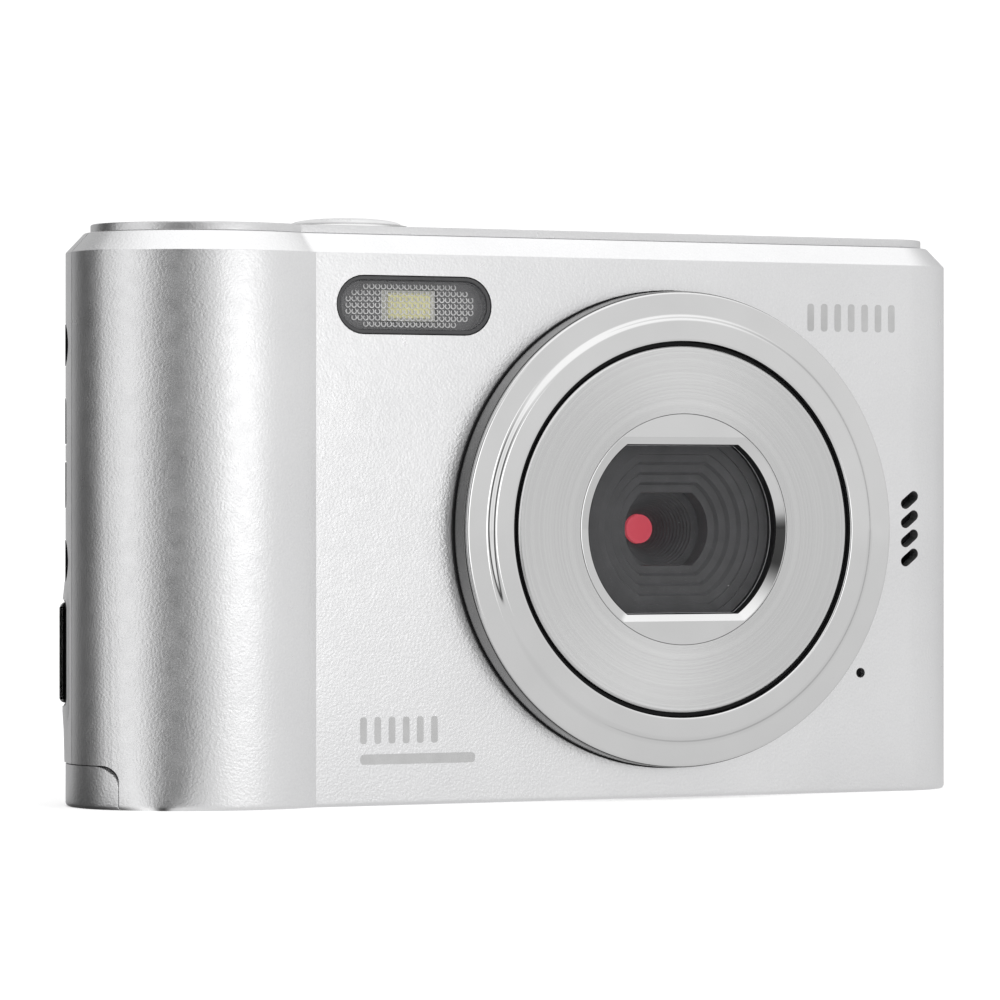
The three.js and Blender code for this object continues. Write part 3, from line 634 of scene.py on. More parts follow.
SLOT_X = 65.4
SLOT_TOP_Z = 29.6
SLOT_PITCH = 1.95
SLOT_LENGTH = 2.3
SLOT_WIDTH = 1.08
SLOT_TILT = math.radians(38)


def speaker_slots():
    slots = []
    for i in range(4):
        turned_outline = []
        for x, z in stadium(0, 0, SLOT_LENGTH, SLOT_WIDTH, 10):
            turned_outline.append((
                SLOT_X + x * math.cos(SLOT_TILT) - z * math.sin(SLOT_TILT),
                SLOT_TOP_Z - i * SLOT_PITCH + x * math.sin(SLOT_TILT) + z * math.cos(SLOT_TILT),
            ))
        slots.append(prism("slot", turned_outline, -1, 3, along_y))
    return slots


def front_shell():
    shell = hollow_body("shell_front")
    combine(shell, slab("rear_half", -99, 99, PARTING_Y - PARTING_GAP / 2, 99, -9, 99))
    microphone = middle("microphone")
    tools = [
        prism("lens_bore", circle(LENS.x, LENS.z, INSERT_RADIUS + 2, 72), -1, 5, along_y),
        prism("flash_hole", flash_outline(-0.08, 16), -3, 3, along_y),
        prism("microphone_hole", circle(microphone.x, microphone.z, 0.5, 24), -1, 3, along_y),
        bush_hole(),
        door_space(),
        *top_holes(),
        *speaker_slots(),
    ]
    combine(shell, joined("tools", tools))
    soften(shell, 0.07)
    dress(shell, "silver_paint", replaces="front_shell")


END_KEYS = ("upper_end_key", "lower_end_key", "zoom_in_key", "zoom_out_key")
ROUND_BACK_KEYS = ("menu_key", "mode_key", "play_key", "delete_key")


def end_key_outline(node, clearance):
    """Round for the outer two keys. The zoom keys are the two halves of one long button."""
    low, high = span(node)
    y, z = (low.y + high.y) / 2, (low.z + high.z) / 2
    if not node.startswith("zoom"):
        return circle(y, z, (high.z - low.z) / 2 + clearance, 32)
    side = 1 if node == "zoom_in_key" else -1
    half_width = (high.y - low.y) / 2 + clearance
    far = (high.z if side > 0 else low.z) - side * (half_width - clearance)
    near = (low.z if side > 0 else high.z) - side * clearance
    start = 0 if side > 0 else math.pi
    square = [(y - side * half_width, near), (y + side * half_width, near)]
    return arc(y, far, half_width, start, start + math.pi, 16) + square


LUG_LOW, LUG_HIGH, LUG = extent("strap_lug")
LUG_PROUD = 0.6
FOOT = 0.4
POCKET_FRONT_Y = span("lug_pocket")[0].y + 0.35
POCKET_DEPTH = 1.0


def lug_outline(front_y, clearance):
    return rounded_rectangle((front_y + LUG_HIGH.y) / 2, LUG.z, LUG_HIGH.y - front_y + 2 * clearance,
                             LUG_HIGH.z - LUG_LOW.z + 2 * clearance, 0.9)


def end_plug(name, outline, outer, depth):
    """The part of a slab that follows the body's surface, inside an outline drawn on the grip's end."""
    plug = prism(name, outline, LUG_LOW.x - 2, LUG_LOW.x + 6, along_x)
    combine(plug, skin("plug_depth", outer, depth, 1, WALL_TOP), "INTERSECT")
    return plug


def lug_pad():
    """A pad that swells out of the rear shell around the strap lug and runs down to the door."""
    curve = 7
    turn = math.radians(25)
    low, high = DOOR_HIGH.z + RUNNING, LUG.z + 8
    swell = [(-7.6, 0.2), (-6.2, 0.29), (-5.6, 0.32), (4.6, 0.32), (5.2, 0.29), (6.5, 0.15)]
    heights = [(low, 0.13)] + [(LUG.z + rise, proud) for rise, proud in swell] + [(high, -0.02)]
    levels = []
    for z, proud in heights:
        reach = END_REAR_RADIUS + proud - curve
        x, y = END_REAR_X - reach * math.cos(turn), PARTING_Y + reach * math.sin(turn)
        levels.append((circle(x, y, curve, 160), z))
    pad = loft("pad", levels)
    combine(pad, prism("pad_inside", body_outline(WALL), low - 1, high + 1))
    return pad


def microphone_felt():
    """Black felt behind the microphone's hole."""
    microphone = middle("microphone")
    profile = [(0, 0.75), (0.4, 0.78), (0.47, 0.9), (0.47, 1.5), (0, 1.5)]
    felt = turned("microphone_felt", profile, microphone.x, microphone.z, 24, closed=False)
    dress(soften(felt, 0), "black_plastic")


def back_hole(outline, depth=3):
    """A cutter for an opening in the camera's back."""
    return prism("back_hole", outline, BODY_DEPTH - depth, BODY_DEPTH + 1, along_y)


def right_end_hole(outline, depth):
    return prism("right_end_hole", outline, RIGHT_END - depth, RIGHT_END + 1, along_x)


def back_openings():
    low, high, screen = extent("screen_window")
    status = middle("status_light")
    bed = rounded_rectangle(screen.x, screen.z, high.x - low.x + 0.2, high.z - low.z + 0.2, 2)
    holes = [back_hole(bed, 1.2), back_hole(circle(status.x, status.z, 0.6, 20))]
    for node, steps in (("navigation_pad", 72), *((key, 48) for key in ROUND_BACK_KEYS)):
        key = middle(node)
        holes.append(back_hole(circle(key.x, key.z, length(node) / 2 + RUNNING, steps)))
    return holes


def right_end_openings():
    low, high, port = extent("usb_port")
    mouth = rounded_rectangle(port.y, port.z, high.y - low.y + 0.2, high.z - low.z + 0.2, 0.6)
    screws = [middle("side_screw_low"), middle("side_screw_high")]
    seats = [right_end_hole(circle(screw.y, screw.z, 1.25, 32), 0.7) for screw in screws]
    return [right_end_hole(mouth, 4), *seats]


def rear_shell():
    shell = hollow_body("shell_rear")
    combine(shell, slab("front_half", -99, 99, -99, PARTING_Y + PARTING_GAP / 2, -9, 99))
    combine(shell, lug_pad(), "UNION")
    combine(shell, end_plug("recess", lug_outline(POCKET_FRONT_Y, 0.26), -2, POCKET_DEPTH + 0.05))
    tools = [*back_openings(), *right_end_openings(), bush_hole(), door_space(), *top_holes()]
    for node in END_KEYS:
        tools.append(prism("end_hole", end_key_outline(node, RUNNING), GRIP_END - 1, GRIP_END + 6, along_x))
    combine(shell, joined("tools", tools))
    soften(shell, 0.07)
    dress(shell, "silver_paint", replaces="rear_shell")


def top_cover():
    levels = [(0, PLATE_BOTTOM), (0, PLATE_TOP - 0.14), (0.04, PLATE_TOP - 0.04), (0.14, PLATE_TOP)]
    plate = loft("top_cover", [(body_outline(PLATE_INSET + inset), z) for inset, z in levels])
    shutter, power = middle("shutter_button"), middle("power_button")
    outlines = [
        circle(shutter.x, shutter.y, length("shutter_collar") / 2 + 0.1, 96),
        circle(power.x, power.y, length("power_button") / 2 + RUNNING),
    ]
    holes = [prism("plate_hole", outline, SHELL_TOP - 1, PLATE_TOP + 1) for outline in outlines]
    combine(plate, joined("holes", holes))
    soften(plate, 0.05)
    # The cover gets a copy of the silver paint toned to 0.9, darker than the shell's.
    dress(plate, "silver_paint", replaces="top_plate", material=silver_paint("cover_paint", 0.9))


def battery_door():
    door = outer_body("door_panel")
    knuckle_radius = 1.0
    hinge_x = DOOR_HIGH.x - knuckle_radius
    reach = prism("door_reach", door_outline(0, DOOR_CORNER), GRIP_END - 5, hinge_x, along_x)
    combine(door, reach, "INTERSECT")
    combine(door, prism("door_inside", body_outline(WALL), 1.8, 9))
    arms = (DOOR_LOW.y + 0.9, DOOR_HIGH.y - 0.9)
    notches = []
    for y, edge in zip(arms, (DOOR_LOW.y - 1, DOOR_HIGH.y + 1)):
        far = y + math.copysign(0.6, (DOOR_LOW.y + DOOR_HIGH.y) / 2 - y)
        notches.append(slab("notch", hinge_x - 1.8, hinge_x + 3, min(edge, far), max(edge, far), -1, 3))
    round_bar = circle(hinge_x, knuckle_radius, knuckle_radius, 40)
    combine(door, prism("knuckle", round_bar, arms[0] + 0.7, arms[1] - 0.7, along_y), "UNION")
    combine(door, joined("notches", notches))
    pin = circle(hinge_x, knuckle_radius, 0.6, 24)
    combine(door, prism("pin_bore", pin, DOOR_LOW.y - 1, DOOR_HIGH.y + 1, along_y))
    soften(door, 0.07)
    dress(door, "silver_paint", body="door", replaces="battery_door")


# ---- lens --------------------------------------------------------------------------------------


def rounded_steps(points, radius=0.06, steps=3):
    """A (radius, y) profile with each inner corner rounded."""
    out = [points[0]]
    for before, corner, after in zip(points, points[1:], points[2:]):
        b, c, a = Vector(before), Vector(corner), Vector(after)
        size = min(radius, (b - c).length / 2.5, (a - c).length / 2.5)
        start, end = c + (b - c).normalized() * size, c + (a - c).normalized() * size
        for i in range(steps + 1):
            t = i / steps
            out.append(tuple(start * (1 - t) ** 2 + c * 2 * t * (1 - t) + end * t ** 2))
    return out + [points[-1]]


def lens_turned(name, profile, segments=224, closed=True):
    return turned(name, profile, LENS.x, LENS.z, segments, closed)


RING_INNER = DISC_RADIUS + 0.46
RING_STEP = 20.75


def trim_ring():
    """Two flat chrome bands, one behind the other, joined by a small round-cornered step."""
    front = TRIM_FRONT
    outer_band = front + 0.55
    edge = RING_RADIUS - 0.14
    face = [(RING_INNER, TRIM_BACK)] + rounded_steps([
        (RING_INNER, TRIM_BACK), (RING_INNER, front), (RING_STEP, front), (RING_STEP + 0.4, outer_band),
        (edge, outer_band), (edge, TRIM_BACK),
    ], 0.26, 8)[1:]
    ring = lens_turned("trim_ring", face)
    dress(soften(ring, 0, smooth=60), "chrome", replaces="lens_ring")
    inner = RING_RADIUS - 0.12
    side = rounded_steps([
        (inner, TRIM_BACK), (inner, front + 1.12), (RING_RADIUS, front + 1.17), (RING_RADIUS, -0.25),
        (RING_RADIUS, TRIM_BACK),
    ], 0.04)
    band = lens_turned("trim_ring_side", side)
    # The side band gets a copy of the chrome toned far darker and rougher than the front bands.
    dress(soften(band, 0), "chrome", material=chrome("darkened_side_chrome", 0.26, 0.2, 0.32))
    # Painted shadow: a thin black ring round the trim's base, where it meets the body, draws the shadow line
    # there.
    outer = RING_RADIUS + 0.14
    foot = [(RING_RADIUS, -0.3), (outer, -0.3), (outer, 0.05), (RING_RADIUS, 0.05)]
    dress(soften(lens_turned("trim_ring_painted_shadow", foot, 160), 0), "black_plastic")


def groove_gasket():
    front = TRIM_FRONT + 0.7
    inner, outer = DISC_RADIUS + 0.02, RING_INNER - 0.02
    profile = [(inner, TRIM_BACK), (inner, front), (outer, front), (outer, TRIM_BACK)]
    gasket = lens_turned("groove_gasket", rounded_steps(profile, 0.08), 128)
    dress(soften(gasket, 0), "black_plastic", replaces="groove_seal")


def spun_disc():
    front = TRIM_FRONT
    inner = INSERT_RADIUS + 0.04
    insert_front = span("window_insert")[0].y
    profile = rounded_steps([
        (inner, TRIM_BACK), (inner, insert_front), (DISC_RADIUS - 0.34, front + 0.01),
        (DISC_RADIUS - 0.2, front), (DISC_RADIUS, front + 0.2), (DISC_RADIUS, TRIM_BACK),
    ], 0.03)
    disc = lens_turned("spun_disc", profile)
    dress(soften(disc, 0), "spun_metal", replaces="lens_disc")


SEAT_Y = -2.0


def window_bezel():
    """The bright insert: a round plug with a flat-sided window whose straight edges are bevelled."""
    low, high = span("window_insert")
    front, back = low.y, high.y
    profile = rounded_steps([(0, back), (INSERT_RADIUS, back), (INSERT_RADIUS, front), (0, front)], 0.05)
    plug = lens_turned("window_bezel", profile, 192, closed=False)
    mouth = window_outline(INSERT_RADIUS - 0.12, WINDOW_HALF_HEIGHT + 0.68)
    throat = window_outline(WINDOW_RADIUS, WINDOW_HALF_HEIGHT)
    opening = loft("window_opening", [(mouth, front - 1), (mouth, front + 0.02), (throat, front + 0.38),
                                      (throat, back + 1)], along_y)
    combine(plug, opening)
    soften(plug, 0.03)
    dress(plug, "chrome", replaces="window_insert")


def window_seat():
    """A thin black sleeve from the bevel down to the window."""
    seat = prism("window_seat", window_outline(WINDOW_RADIUS - 0.02, WINDOW_HALF_HEIGHT - 0.02),
                 TRIM_FRONT + 0.62, SEAT_Y - 0.02, along_y)
    inside = window_outline(WINDOW_RADIUS - 0.1, WINDOW_HALF_HEIGHT - 0.1)
    combine(seat, prism("seat_hole", inside, -9, 9, along_y))
    soften(seat, 0.02)
    dress(seat, "black_plastic")


def window_pane():
    outline = window_outline(WINDOW_RADIUS - 0.05, WINDOW_HALF_HEIGHT - 0.05)
    pane = prism("window_pane", outline, SEAT_Y, SEAT_Y + 0.3, along_y)
    dress(soften(pane, 0.09, 3), "clear_plastic", replaces="lens_window",
          material=clear("window_clear", 0.03, (0.3, 0.3, 0.32), shine=0.1))
    rim = prism("window_pane_edge", outline, SEAT_Y - 0.03, SEAT_Y + 0.02, along_y)
    inside = window_outline(WINDOW_RADIUS - 0.13, WINDOW_HALF_HEIGHT - 0.13)
    combine(rim, prism("edge_hole", inside, -9, 9, along_y))
    dress(soften(rim, 0.01), "clear_plastic", material=clear("polished_edge", 0.6, (0.9, 0.9, 0.92)))


STEP_DEPTH = 0.5
STEP_RADIUS = 8.6
STEP_HALF_HEIGHT = 7.65
STEP_SHRINK = 1.0
STEPS = 5
PLATE_DROP = 1.5
RIM_RADIUS = 9.35
RIM_HALF_HEIGHT = 8.1
CONE_RADIUS = 3.75
EYE_RADIUS = 1.5


def baffle_funnel():
    """A shallow funnel of flat-sided steps, with a ribbed cone from its middle back to the lens."""
    low, high = span("lens_baffle")
    funnel = prism("baffle_funnel", window_outline(WINDOW_RADIUS - 0.1, WINDOW_HALF_HEIGHT - 0.1),
                   low.y, high.y, along_y)
    rim = window_outline(RIM_RADIUS, RIM_HALF_HEIGHT)
    combine(funnel, prism("rim", rim, low.y - 1, low.y + 0.25, along_y))
    levels = []
    for i in range(STEPS):
        shrink = i * STEP_SHRINK
        edge = window_outline(STEP_RADIUS - shrink, STEP_HALF_HEIGHT - shrink)
        slope = 0.05 if i == STEPS - 1 else 0.24
        foot = window_outline(STEP_RADIUS - shrink - slope, STEP_HALF_HEIGHT - shrink - slope)
        start = low.y - 1 if i == 0 else low.y + STEP_DEPTH * i
        drop = PLATE_DROP if i == STEPS - 1 else 0
        levels += [(edge, start + 0.001), (foot, low.y + STEP_DEPTH * (i + 1) + drop)]
    combine(funnel, loft("steps", levels, along_y))
    ribs = 12
    plate_y = low.y + STEP_DEPTH * STEPS + PLATE_DROP
    depth = high.y - 0.5 - plate_y
    cone = [(0, plate_y - 0.2), (CONE_RADIUS, plate_y - 0.2)]
    for i in range(ribs):
        wide = CONE_RADIUS - (CONE_RADIUS - EYE_RADIUS) * i / ribs
        cone += [(wide, plate_y + depth * i / ribs), (wide, plate_y + depth * (i + 0.72) / ribs)]
    cone += [(EYE_RADIUS, high.y - 0.5), (EYE_RADIUS, high.y + 1), (0, high.y + 1)]
    combine(funnel, lens_turned("cone", cone, 96, closed=False))
    soften(funnel, 0.04)
    dress(funnel, "baffle", replaces="lens_baffle")


def red_lens():
    low, high = span("front_lens")
    edge = EYE_RADIUS - 0.05
    pole = low.y - 0.6
    turns = [t * QUARTER / 8 for t in range(9)]
    bulge = [(edge * math.sin(turn), pole + 0.1 * (1 - math.cos(turn))) for turn in turns]
    flange = 1.8
    profile = bulge + [(edge, high.y - 0.95), (flange, high.y - 0.85), (flange, high.y), (0, high.y)]
    lens = lens_turned("red_lens", profile, 64, closed=False)
    dress(soften(lens, 0), "coated_glass", replaces="front_lens")


# ---- flash -------------------------------------------------------------------------------------

RIM = 0.4
TRAY_FLOOR = 1.3


def flash_frame():
    """The dark tray, open to the front, with a square hole in its floor for the light."""
    low, high = span("flash_bezel")
    bezel = prism("flash_frame", flash_outline(0), low.y, high.y, along_y)
    combine(bezel, prism("tray", flash_outline(RIM), -1, TRAY_FLOOR, along_y))
    light_low, light_high = span("flash_package")
    width, height = light_high.x - light_low.x + 0.2, light_high.z - light_low.z + 0.2
    hole = rounded_rectangle(FLASH.x, FLASH.z, width, height, 0.1, 2)
    combine(bezel, prism("light_hole", hole, -1, high.y + 1, along_y))
    soften(bezel, 0.12, 3)
    dress(bezel, "black_plastic", replaces="flash_bezel",
          material=plastic("smoky_plastic", (0.065, 0.065, 0.068), 0.2, 0.32, 1200, 0.01))


def flash_pane():
    front = span("flash_window")[0].y
    pane = prism("flash_pane", flash_outline(RIM + 0.02), front, front + 0.4, along_y)
    dress(soften(pane, 0.12, 3), "clear_plastic", replaces="flash_window",
          material=clear("flash_clear", 0.06, (0.9, 0.9, 0.92), shine=0.3))


CELL = 0.62
CELL_RADIUS = 0.19


def flash_cells():
    """Rows of tiny lenses behind the flash pane, drawn only as painted highlights: each is a pale rim that
    is open at its top.
    """
    columns, rows = 22, 7
    reach = FLASH_LENGTH / 2 - 1.1
    corner = FLASH_HEIGHT / 2 - 0.85
    tube = 0.1
    start, end = -QUARTER * 2.5, QUARTER * 0.7

    def inside(x, z):
        over = abs(x) + CELL / 2 - (reach - corner)
        return over <= 0 or math.hypot(over, abs(z) + CELL * 0.3) <= corner + 0.1

    def build(bm):
        for i in range(columns):
            for k in range(rows):
                x, z = (i - (columns - 1) / 2) * CELL, (k - (rows - 1) / 2) * CELL * 0.98
                if not inside(x, z):
                    continue
                inner = arc(FLASH.x + x, FLASH.z + z, CELL_RADIUS, start, end, 9)
                outer = arc(FLASH.x + x, FLASH.z + z, CELL_RADIUS + tube, end, start, 9)
                hook = inner + outer
                add_loft(bm, [(hook, TRAY_FLOOR - 0.14), (hook, TRAY_FLOOR - 0.03)], along_y)

    cells = mesh_object("flash_cells", build)
    # Painted highlight: the cells' pale colour draws the glints of the lenses.
    n = Nodes("cell_glint", Alpha=0.95)
    n.colour(n.ramp(n.noise(2500, 2), [(0.35, 0.7), (0.65, 0.95)]))
    n.wear(900, 2, 0.2, 0.35)
    dress(soften(cells, 0), "clear_plastic", material=n.material)


# ---- controls ----------------------------------------------------------------------------------


def round_edge(radius, start, across, rise, steps=5):
    """The rounded edge of a cap's profile: from (radius, start) in by `across` and up by `rise`."""
    turns = [t * QUARTER / steps for t in range(steps + 1)]
    return [(radius - across + across * math.cos(turn), start + rise * math.sin(turn)) for turn in turns]


def shutter_dome():
    low, high, centre = extent("shutter_button")
    radius = high.x - centre.x
    rim = high.z - 0.65
    crown = [(radius * math.cos(t * QUARTER / 10) ** 0.8, rim + (high.z - rim) * math.sin(t * QUARTER / 10))
             for t in range(11)]
    crown[-1] = (0, high.z)
    cap_bottom = SHELL_TOP + 0.5
    stem = [(0, low.z), (SHUTTER_STEM, low.z), (SHUTTER_STEM, cap_bottom)]
    profile = stem + [(radius - 0.1, cap_bottom), (radius, cap_bottom + 0.1)]
    dome = turned_up("shutter_dome", profile + crown, centre.x, centre.y, 96)
    # Painted highlight: the cap is coloured near white, in place of its slot's silver paint, to stand in for
    # the glare that whitens it.
    dress(soften(dome, 0), "silver_paint", body="shutter", replaces="shutter_button",
          material=plastic("shutter_cap_painted_highlight", (0.97, 0.97, 0.975), 0.25, 0.35, 2600, 0.01))


def shutter_ring():
    low, high, centre = extent("shutter_collar")
    outer = high.x - centre.x
    inner = outer - 0.7
    profile = rounded_steps([
        (inner, low.z), (outer, low.z), (outer, high.z - 0.25), (outer - 0.3, high.z), (inner, high.z),
        (inner, low.z),
    ], 0.08)
    ring = turned_up("collar_ring", profile, centre.x, centre.y, 96)
    dress(soften(ring, 0), "chrome", replaces="shutter_collar")


def power_cap():
    low, high, centre = extent("power_button")
    radius = high.x - centre.x
    cap_bottom = SHELL_TOP + 0.4
    shoulder = high.z - 0.25
    stem = [(0, low.z), (POWER_STEM, low.z), (POWER_STEM, cap_bottom)]
    profile = stem + [(radius, cap_bottom), (radius, shoulder)]
    crown = round_edge(radius, shoulder, 0.3, 0.2, 4)
    dish = [(radius - 0.9, high.z - 0.08), (0, high.z - 0.12)]
    cap = turned_up("power_cap", profile + crown + dish, centre.x, centre.y, 72)
    dress(soften(cap, 0), "silver_paint", body="power", replaces="power_button")


BODY_OF_NODE = {
    node: body for body, nodes in frame["record"]["behaviour"]["bodies"].items() for node in nodes
}


def end_keys():
    rubber = plastic("key_rubber", (0.01, 0.01, 0.011), 0.5, 0.65, shine=0.0)
    for node in END_KEYS:
        low, high = span(node)
        key = prism(node.replace("_key", "_cap"), end_key_outline(node, 0), low.x - 2, high.x, along_x)
        combine(key, skin("key_skin", -0.03, 2.2, 1, WALL_TOP), "INTERSECT")
        soften(key, 0.06, 3)
        dress(key, "black_plastic", body=BODY_OF_NODE[node], replaces=node, material=rubber)


def strap_loop():
    """A thin strip that stands off the grip's end, with a foot at each rounded end."""
    half = (LUG_HIGH.z - LUG_LOW.z) / 2
    thickness = 0.12
    steps = 8
    levels = []
    for side in (-1, 1):
        for i in range(steps + 1):
            turn = QUARTER * (i if side > 0 else steps - i) / steps
            z = LUG.z + side * (half - LUG_PROUD + LUG_PROUD * math.sin(turn))
            levels.append((body_outline(-LUG_PROUD * math.cos(turn)), z))
    loop = loft("strap_loop", levels)
    reach = half - FOOT
    combine(loop, prism("foot_depth", body_outline(0.7), LUG_LOW.z - 1, LUG_HIGH.z + 1))
    combine(loop, prism("cord_gap", body_outline(thickness - LUG_PROUD), LUG.z - reach, LUG.z + reach))
    outline = lug_outline(LUG_LOW.y, 0)
    combine(loop, prism("loop_outline", outline, LUG_LOW.x - 2, LUG_LOW.x + 6, along_x), "INTERSECT")
    soften(loop, 0.04, 3)
    dress(loop, "chrome", replaces="strap_lug", material=chrome("satin_lug", 0.85, 0.2, 0.3))


def lug_pocket():
    pocket = end_plug("pocket", lug_outline(POCKET_FRONT_Y, 0.22), -0.14, POCKET_DEPTH)
    combine(pocket, end_plug("hollow", lug_outline(POCKET_FRONT_Y, 0.06), -1, POCKET_DEPTH - 0.2))
    wall = end_plug("pocket_wall", lug_outline(POCKET_FRONT_Y, 0.12), -0.45, POCKET_DEPTH - 0.1)
    half = (LUG_HIGH.z - LUG_LOW.z) / 2 - FOOT - 0.05
    back = LUG_HIGH.y
    combine(wall, slab("behind", -99, 0, back - 0.7, back + 1, LUG.z - half, LUG.z + half), "INTERSECT")
    combine(pocket, wall, "UNION")
    soften(pocket, 0.05)
    dress(pocket, "black_plastic", replaces="lug_pocket")


def back_cap(node, edge, dish):
    """A round key with an edge rounded by `edge`. `dish` gives its face as (share of radius, depth)."""
    low, high, centre = extent(node)
    radius = high.x - centre.x
    face = [(radius * share, high.y - depth) for share, depth in dish]
    profile = [(0, low.y), (radius, low.y)] + round_edge(radius, high.y - edge, edge, edge) + face
    key = turned(node.replace("_key", "_cap"), profile, centre.x, centre.z, 64, closed=False)
    dress(soften(key, 0), "silver_paint", body=BODY_OF_NODE[node], replaces=node)


def back_keys():
    for node in ROUND_BACK_KEYS:
        back_cap(node, 0.35, [(0.6, 0.03), (0, 0.06)])


def ok_cap():
    back_cap("ok_key", 0.3, [(0, 0.05)])


def navigation_ring():
    low, high, centre = extent("navigation_pad")
    outer = high.x - centre.x
    inner = 2.75
    profile = rounded_steps([
        (inner, low.y), (outer, low.y), (outer, high.y - 0.22), (outer - 0.5, high.y),
        (outer - 1.4, high.y - 0.02), (inner + 1.2, high.y - 0.2), (inner + 0.3, high.y - 0.18),
        (inner, high.y - 0.3), (inner, low.y),
    ], 0.12)
    ring = turned("navigation_ring", profile, centre.x, centre.z, 128, closed=False)
    dress(soften(ring, 0), "silver_paint", body="navigation_button", replaces="navigation_pad")


# ---- back, base and right end ------------------------------------------------------------------


def back_screen():
    low, high, centre = extent("screen_window")
    pane = prism("screen_glass", rounded_rectangle(centre.x, centre.z, high.x - low.x, high.z - low.z, 1.9),
                 low.y, high.y, along_y)
    dress(soften(pane, 0.2, 3), "dark_glass", replaces="screen_window")


def tripod_thread():
    """The tripod bush, with the ridges of its thread."""
    low, high, centre = extent("tripod_bush")
    pitch = 1.27
    turns = 4
    minor, major = 2.9, 3.3
    ridges = []
    for i in range(turns):
        z = low.z + 0.1 + i * pitch
        ridges += [(minor, z), (major, z + pitch * 0.45), (major, z + pitch * 0.55), (minor, z + pitch)]
    sleeve, flange = 4.0, 5.6
    flange_bottom, flange_top = 2.1, 3.2
    blind_end = high.z - 0.8
    outside = [(0, high.z), (sleeve, high.z), (sleeve, flange_top), (flange, flange_top)]
    nose = [(flange, flange_bottom), (BUSH_NOSE, flange_bottom), (BUSH_NOSE, low.z + 0.1)]
    mouth = [(BUSH_NOSE - 0.1, low.z), (minor + 0.2, low.z)]
    profile = outside + nose + mouth + ridges + [(minor, blind_end), (0, blind_end)]
    bush = turned_up("tripod_thread", profile, centre.x, centre.y, 64)
    dress(soften(bush, 0), "brass", replaces="tripod_bush")


def port_tongue():
    """The plastic tongue with its contacts inside the USB port."""
    low, high, centre = extent("usb_port")
    tongue = prism("port_tongue", rounded_rectangle(centre.y, centre.z, 0.7, high.z - low.z - 2.6, 0.2, 3),
                   low.x + 0.9, high.x - 0.9, along_x)
    dress(soften(tongue, 0.05), "black_plastic")

    def build(bm):
        for i in range(-2, 3):
            z = centre.z + i * 0.65
            back, front = centre.y - 0.4, centre.y - 0.35
            strip = [(back, z - 0.13), (front, z - 0.13), (front, z + 0.13), (back, z + 0.13)]
            add_loft(bm, [(strip, low.x + 1.2), (strip, high.x - 1.1)], along_x)

    dress(soften(mesh_object("port_contacts", build), 0), "brass")


def front_marks():
    """Plain bars and dots where a maker would print its figures."""
    n = Nodes("faint_print")
    n.mottle(600, 3, 0.56, 0.62)
    n.wear(900, 2, 0.45, 0.55)

    def ticks(name, x, z, count, pitch, width, height):
        corner = min(width, height) * 0.4

        def build(bm):
            for i in range(count):
                outline = rounded_rectangle(x + i * pitch + width / 2, z, width, height, corner, 4)
                add_loft(bm, [(outline, -0.012), (outline, 0.03)], along_y)

        dress(mesh_object(name, build), "silver_paint", material=n.material)

    ticks("mark_lower_ticks", 4.6, 7.3, 6, 1.5, 0.7, 2.6)
    ticks("mark_lower_bar", 4.6, 4.5, 1, 1, 12.2, 1)
    ticks("mark_upper_ticks", 53.6, 48, 7, 1.55, 0.75, 2.8)


# ---- stage -------------------------------------------------------------------------------------

# Brightness all round the horizon, by degrees from the front and positive towards +X. The two dark
# stretches on the left are black boards that put the two dark bands on the grip.
HORIZON = [
    (-180, 0.52), (-164, 0.54), (-150, 0.34), (-136, 0.08), (-120, 0.03), (-110, 0.06), (-98, 0.22),
    (-86, 0.75), (-76, 1.15), (-66, 1.2), (-58, 0.95), (-49, 0.4), (-42, 0.12), (-32, 0.06), (-24, 0.25),
    (-14, 0.7), (-5, 0.82), (6, 0.87), (14, 0.86), (24, 0.86), (34, 0.87), (50, 0.84), (75, 0.82),
    (100, 0.74), (140, 0.6), (180, 0.52),
]
SKY = 1.3


def horizon(tree, vector):
    """The studio's brightness in the direction of `vector`."""
    parts = tree.parts(vector)
    front = tree.math("MULTIPLY", parts["Y"], -1)
    angle = tree.math("ARCTAN2", parts["X"], front)
    share = tree.add("MapRange", {"Value": angle, "From Min": -math.pi, "From Max": math.pi})
    return tree.ramp(share.outputs[0], [((degrees + 180) / 360, value) for degrees, value in HORIZON])


def sky():
    """A studio with a white sky, and white paper behind everything the camera sees."""
    world = bpy.data.worlds.new("studio")
    bpy.context.scene.world = world
    world.use_nodes = True
    world.node_tree.nodes.clear()
    tree = Tree(world.node_tree)
    where = tree.add("TexCoord").outputs["Generated"]
    parts = tree.parts(where)
    lean = tree.math("MULTIPLY_ADD", parts["Y"], -0.25, parts["Z"])
    rise = {"Value": lean, "From Min": 0.5, "From Max": 0.94}
    height = tree.add("MapRange", rise, interpolation_type="SMOOTHSTEP").outputs["Result"]
    blend = {"Factor": height, "A": horizon(tree, where), "B": (SKY, SKY, SKY, 1)}
    dome = tree.add("Mix", blend, data_type="RGBA")
    light = tree.add("Background", {"Color": dome.outputs["Result"]})
    paper = tree.add("Background", {"Color": (1, 1, 1, 1), "Strength": 1.1})
    seen = tree.add("LightPath").outputs["Is Camera Ray"]
    mix = tree.add("MixShader", {0: seen, 1: light.outputs[0], 2: paper.outputs[0]})
    tree.add("OutputWorld", {0: mix.outputs[0]})


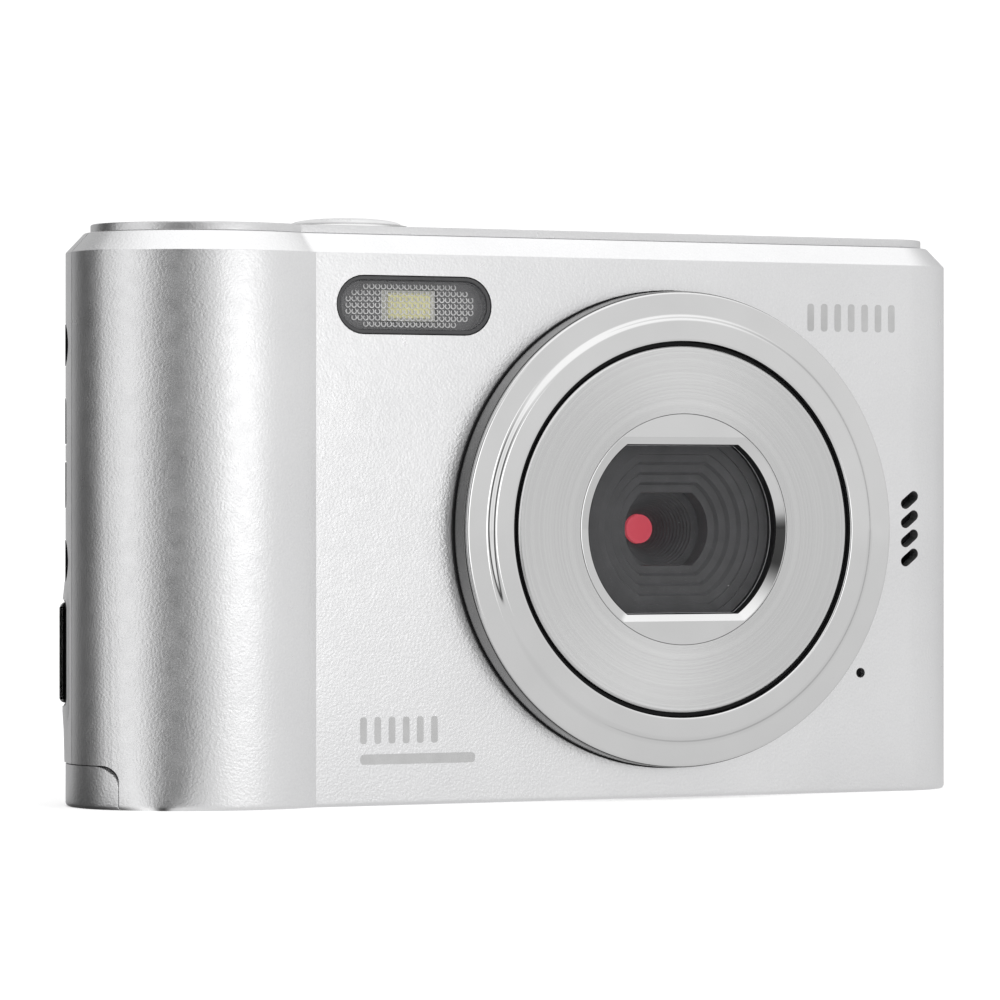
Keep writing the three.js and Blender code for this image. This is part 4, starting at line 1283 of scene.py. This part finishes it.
def floor():
    """White paper. In reflections it is as bright as the studio above it, but a little darker."""

    def build(bm):
        bm.faces.new([bm.verts.new((x, y, 0)) for x, y in circle(0, 0, 3000, 64)])

    paper = mesh_object("floor", build)
    n = Nodes("floor_paper", Roughness=0.9, Emission_Color=(1, 1, 1, 1), Emission_Strength=0.35)
    n.mottle(40, 3, 0.9, 0.94)
    from_grip = n.add("VectorMath", {0: n.where, 1: placed(-14, 3, 0)}, operation="SUBTRACT")
    mirrored = n.add("Emission", {"Color": horizon(n, from_grip.outputs[0]), "Strength": 0.92})
    seen = n.add("LightPath").outputs["Is Camera Ray"]
    mix = n.add("MixShader", {0: seen, 1: mirrored.outputs[0], 2: n.shader.outputs[0]})
    n.put(mix.outputs[0], n.tree.nodes["Material Output"].inputs["Surface"])
    paper.data.materials.append(n.material)


def softbox(name, place, aim, size, power):
    data = bpy.data.lights.new(name, "AREA")
    data.shape = "RECTANGLE"
    data.size, data.size_y = size
    data.energy = power
    lamp = bpy.data.objects.new(name, data)
    lamp.location = place
    lamp.rotation_euler = (Vector(aim) - Vector(place)).to_track_quat("-Z", "Y").to_euler()
    bpy.context.scene.collection.objects.link(lamp)


def camera():
    """A long lens at the camera's mid height, turned 25 degrees off its front."""
    data = bpy.data.cameras.new("view")
    data.sensor_width = 36
    data.lens = 176.7
    data.clip_end = 20
    eye = bpy.data.objects.new("view", data)
    eye.location = placed(-181.8, -436.2, 29.6)
    eye.rotation_euler = (QUARTER, 0, math.radians(-24.77))
    bpy.context.scene.collection.objects.link(eye)
    bpy.context.scene.camera = eye


camera()
sky()
floor()
bpy.context.scene.view_settings.view_transform = "Standard"
softbox("key_light", (0.03, -0.33, 0.03), (-0.02, 0, 0.03), (0.16, 0.1), 0.05)
dress_cad_nodes()
front_shell()
microphone_felt()
rear_shell()
top_cover()
battery_door()
trim_ring()
groove_gasket()
spun_disc()
window_bezel()
window_seat()
window_pane()
baffle_funnel()
red_lens()
flash_frame()
flash_pane()
flash_cells()
shutter_dome()
shutter_ring()
power_cap()
end_keys()
strap_loop()
lug_pocket()
back_keys()
navigation_ring()
ok_cap()
back_screen()
tripod_thread()
port_tongue()
front_marks()
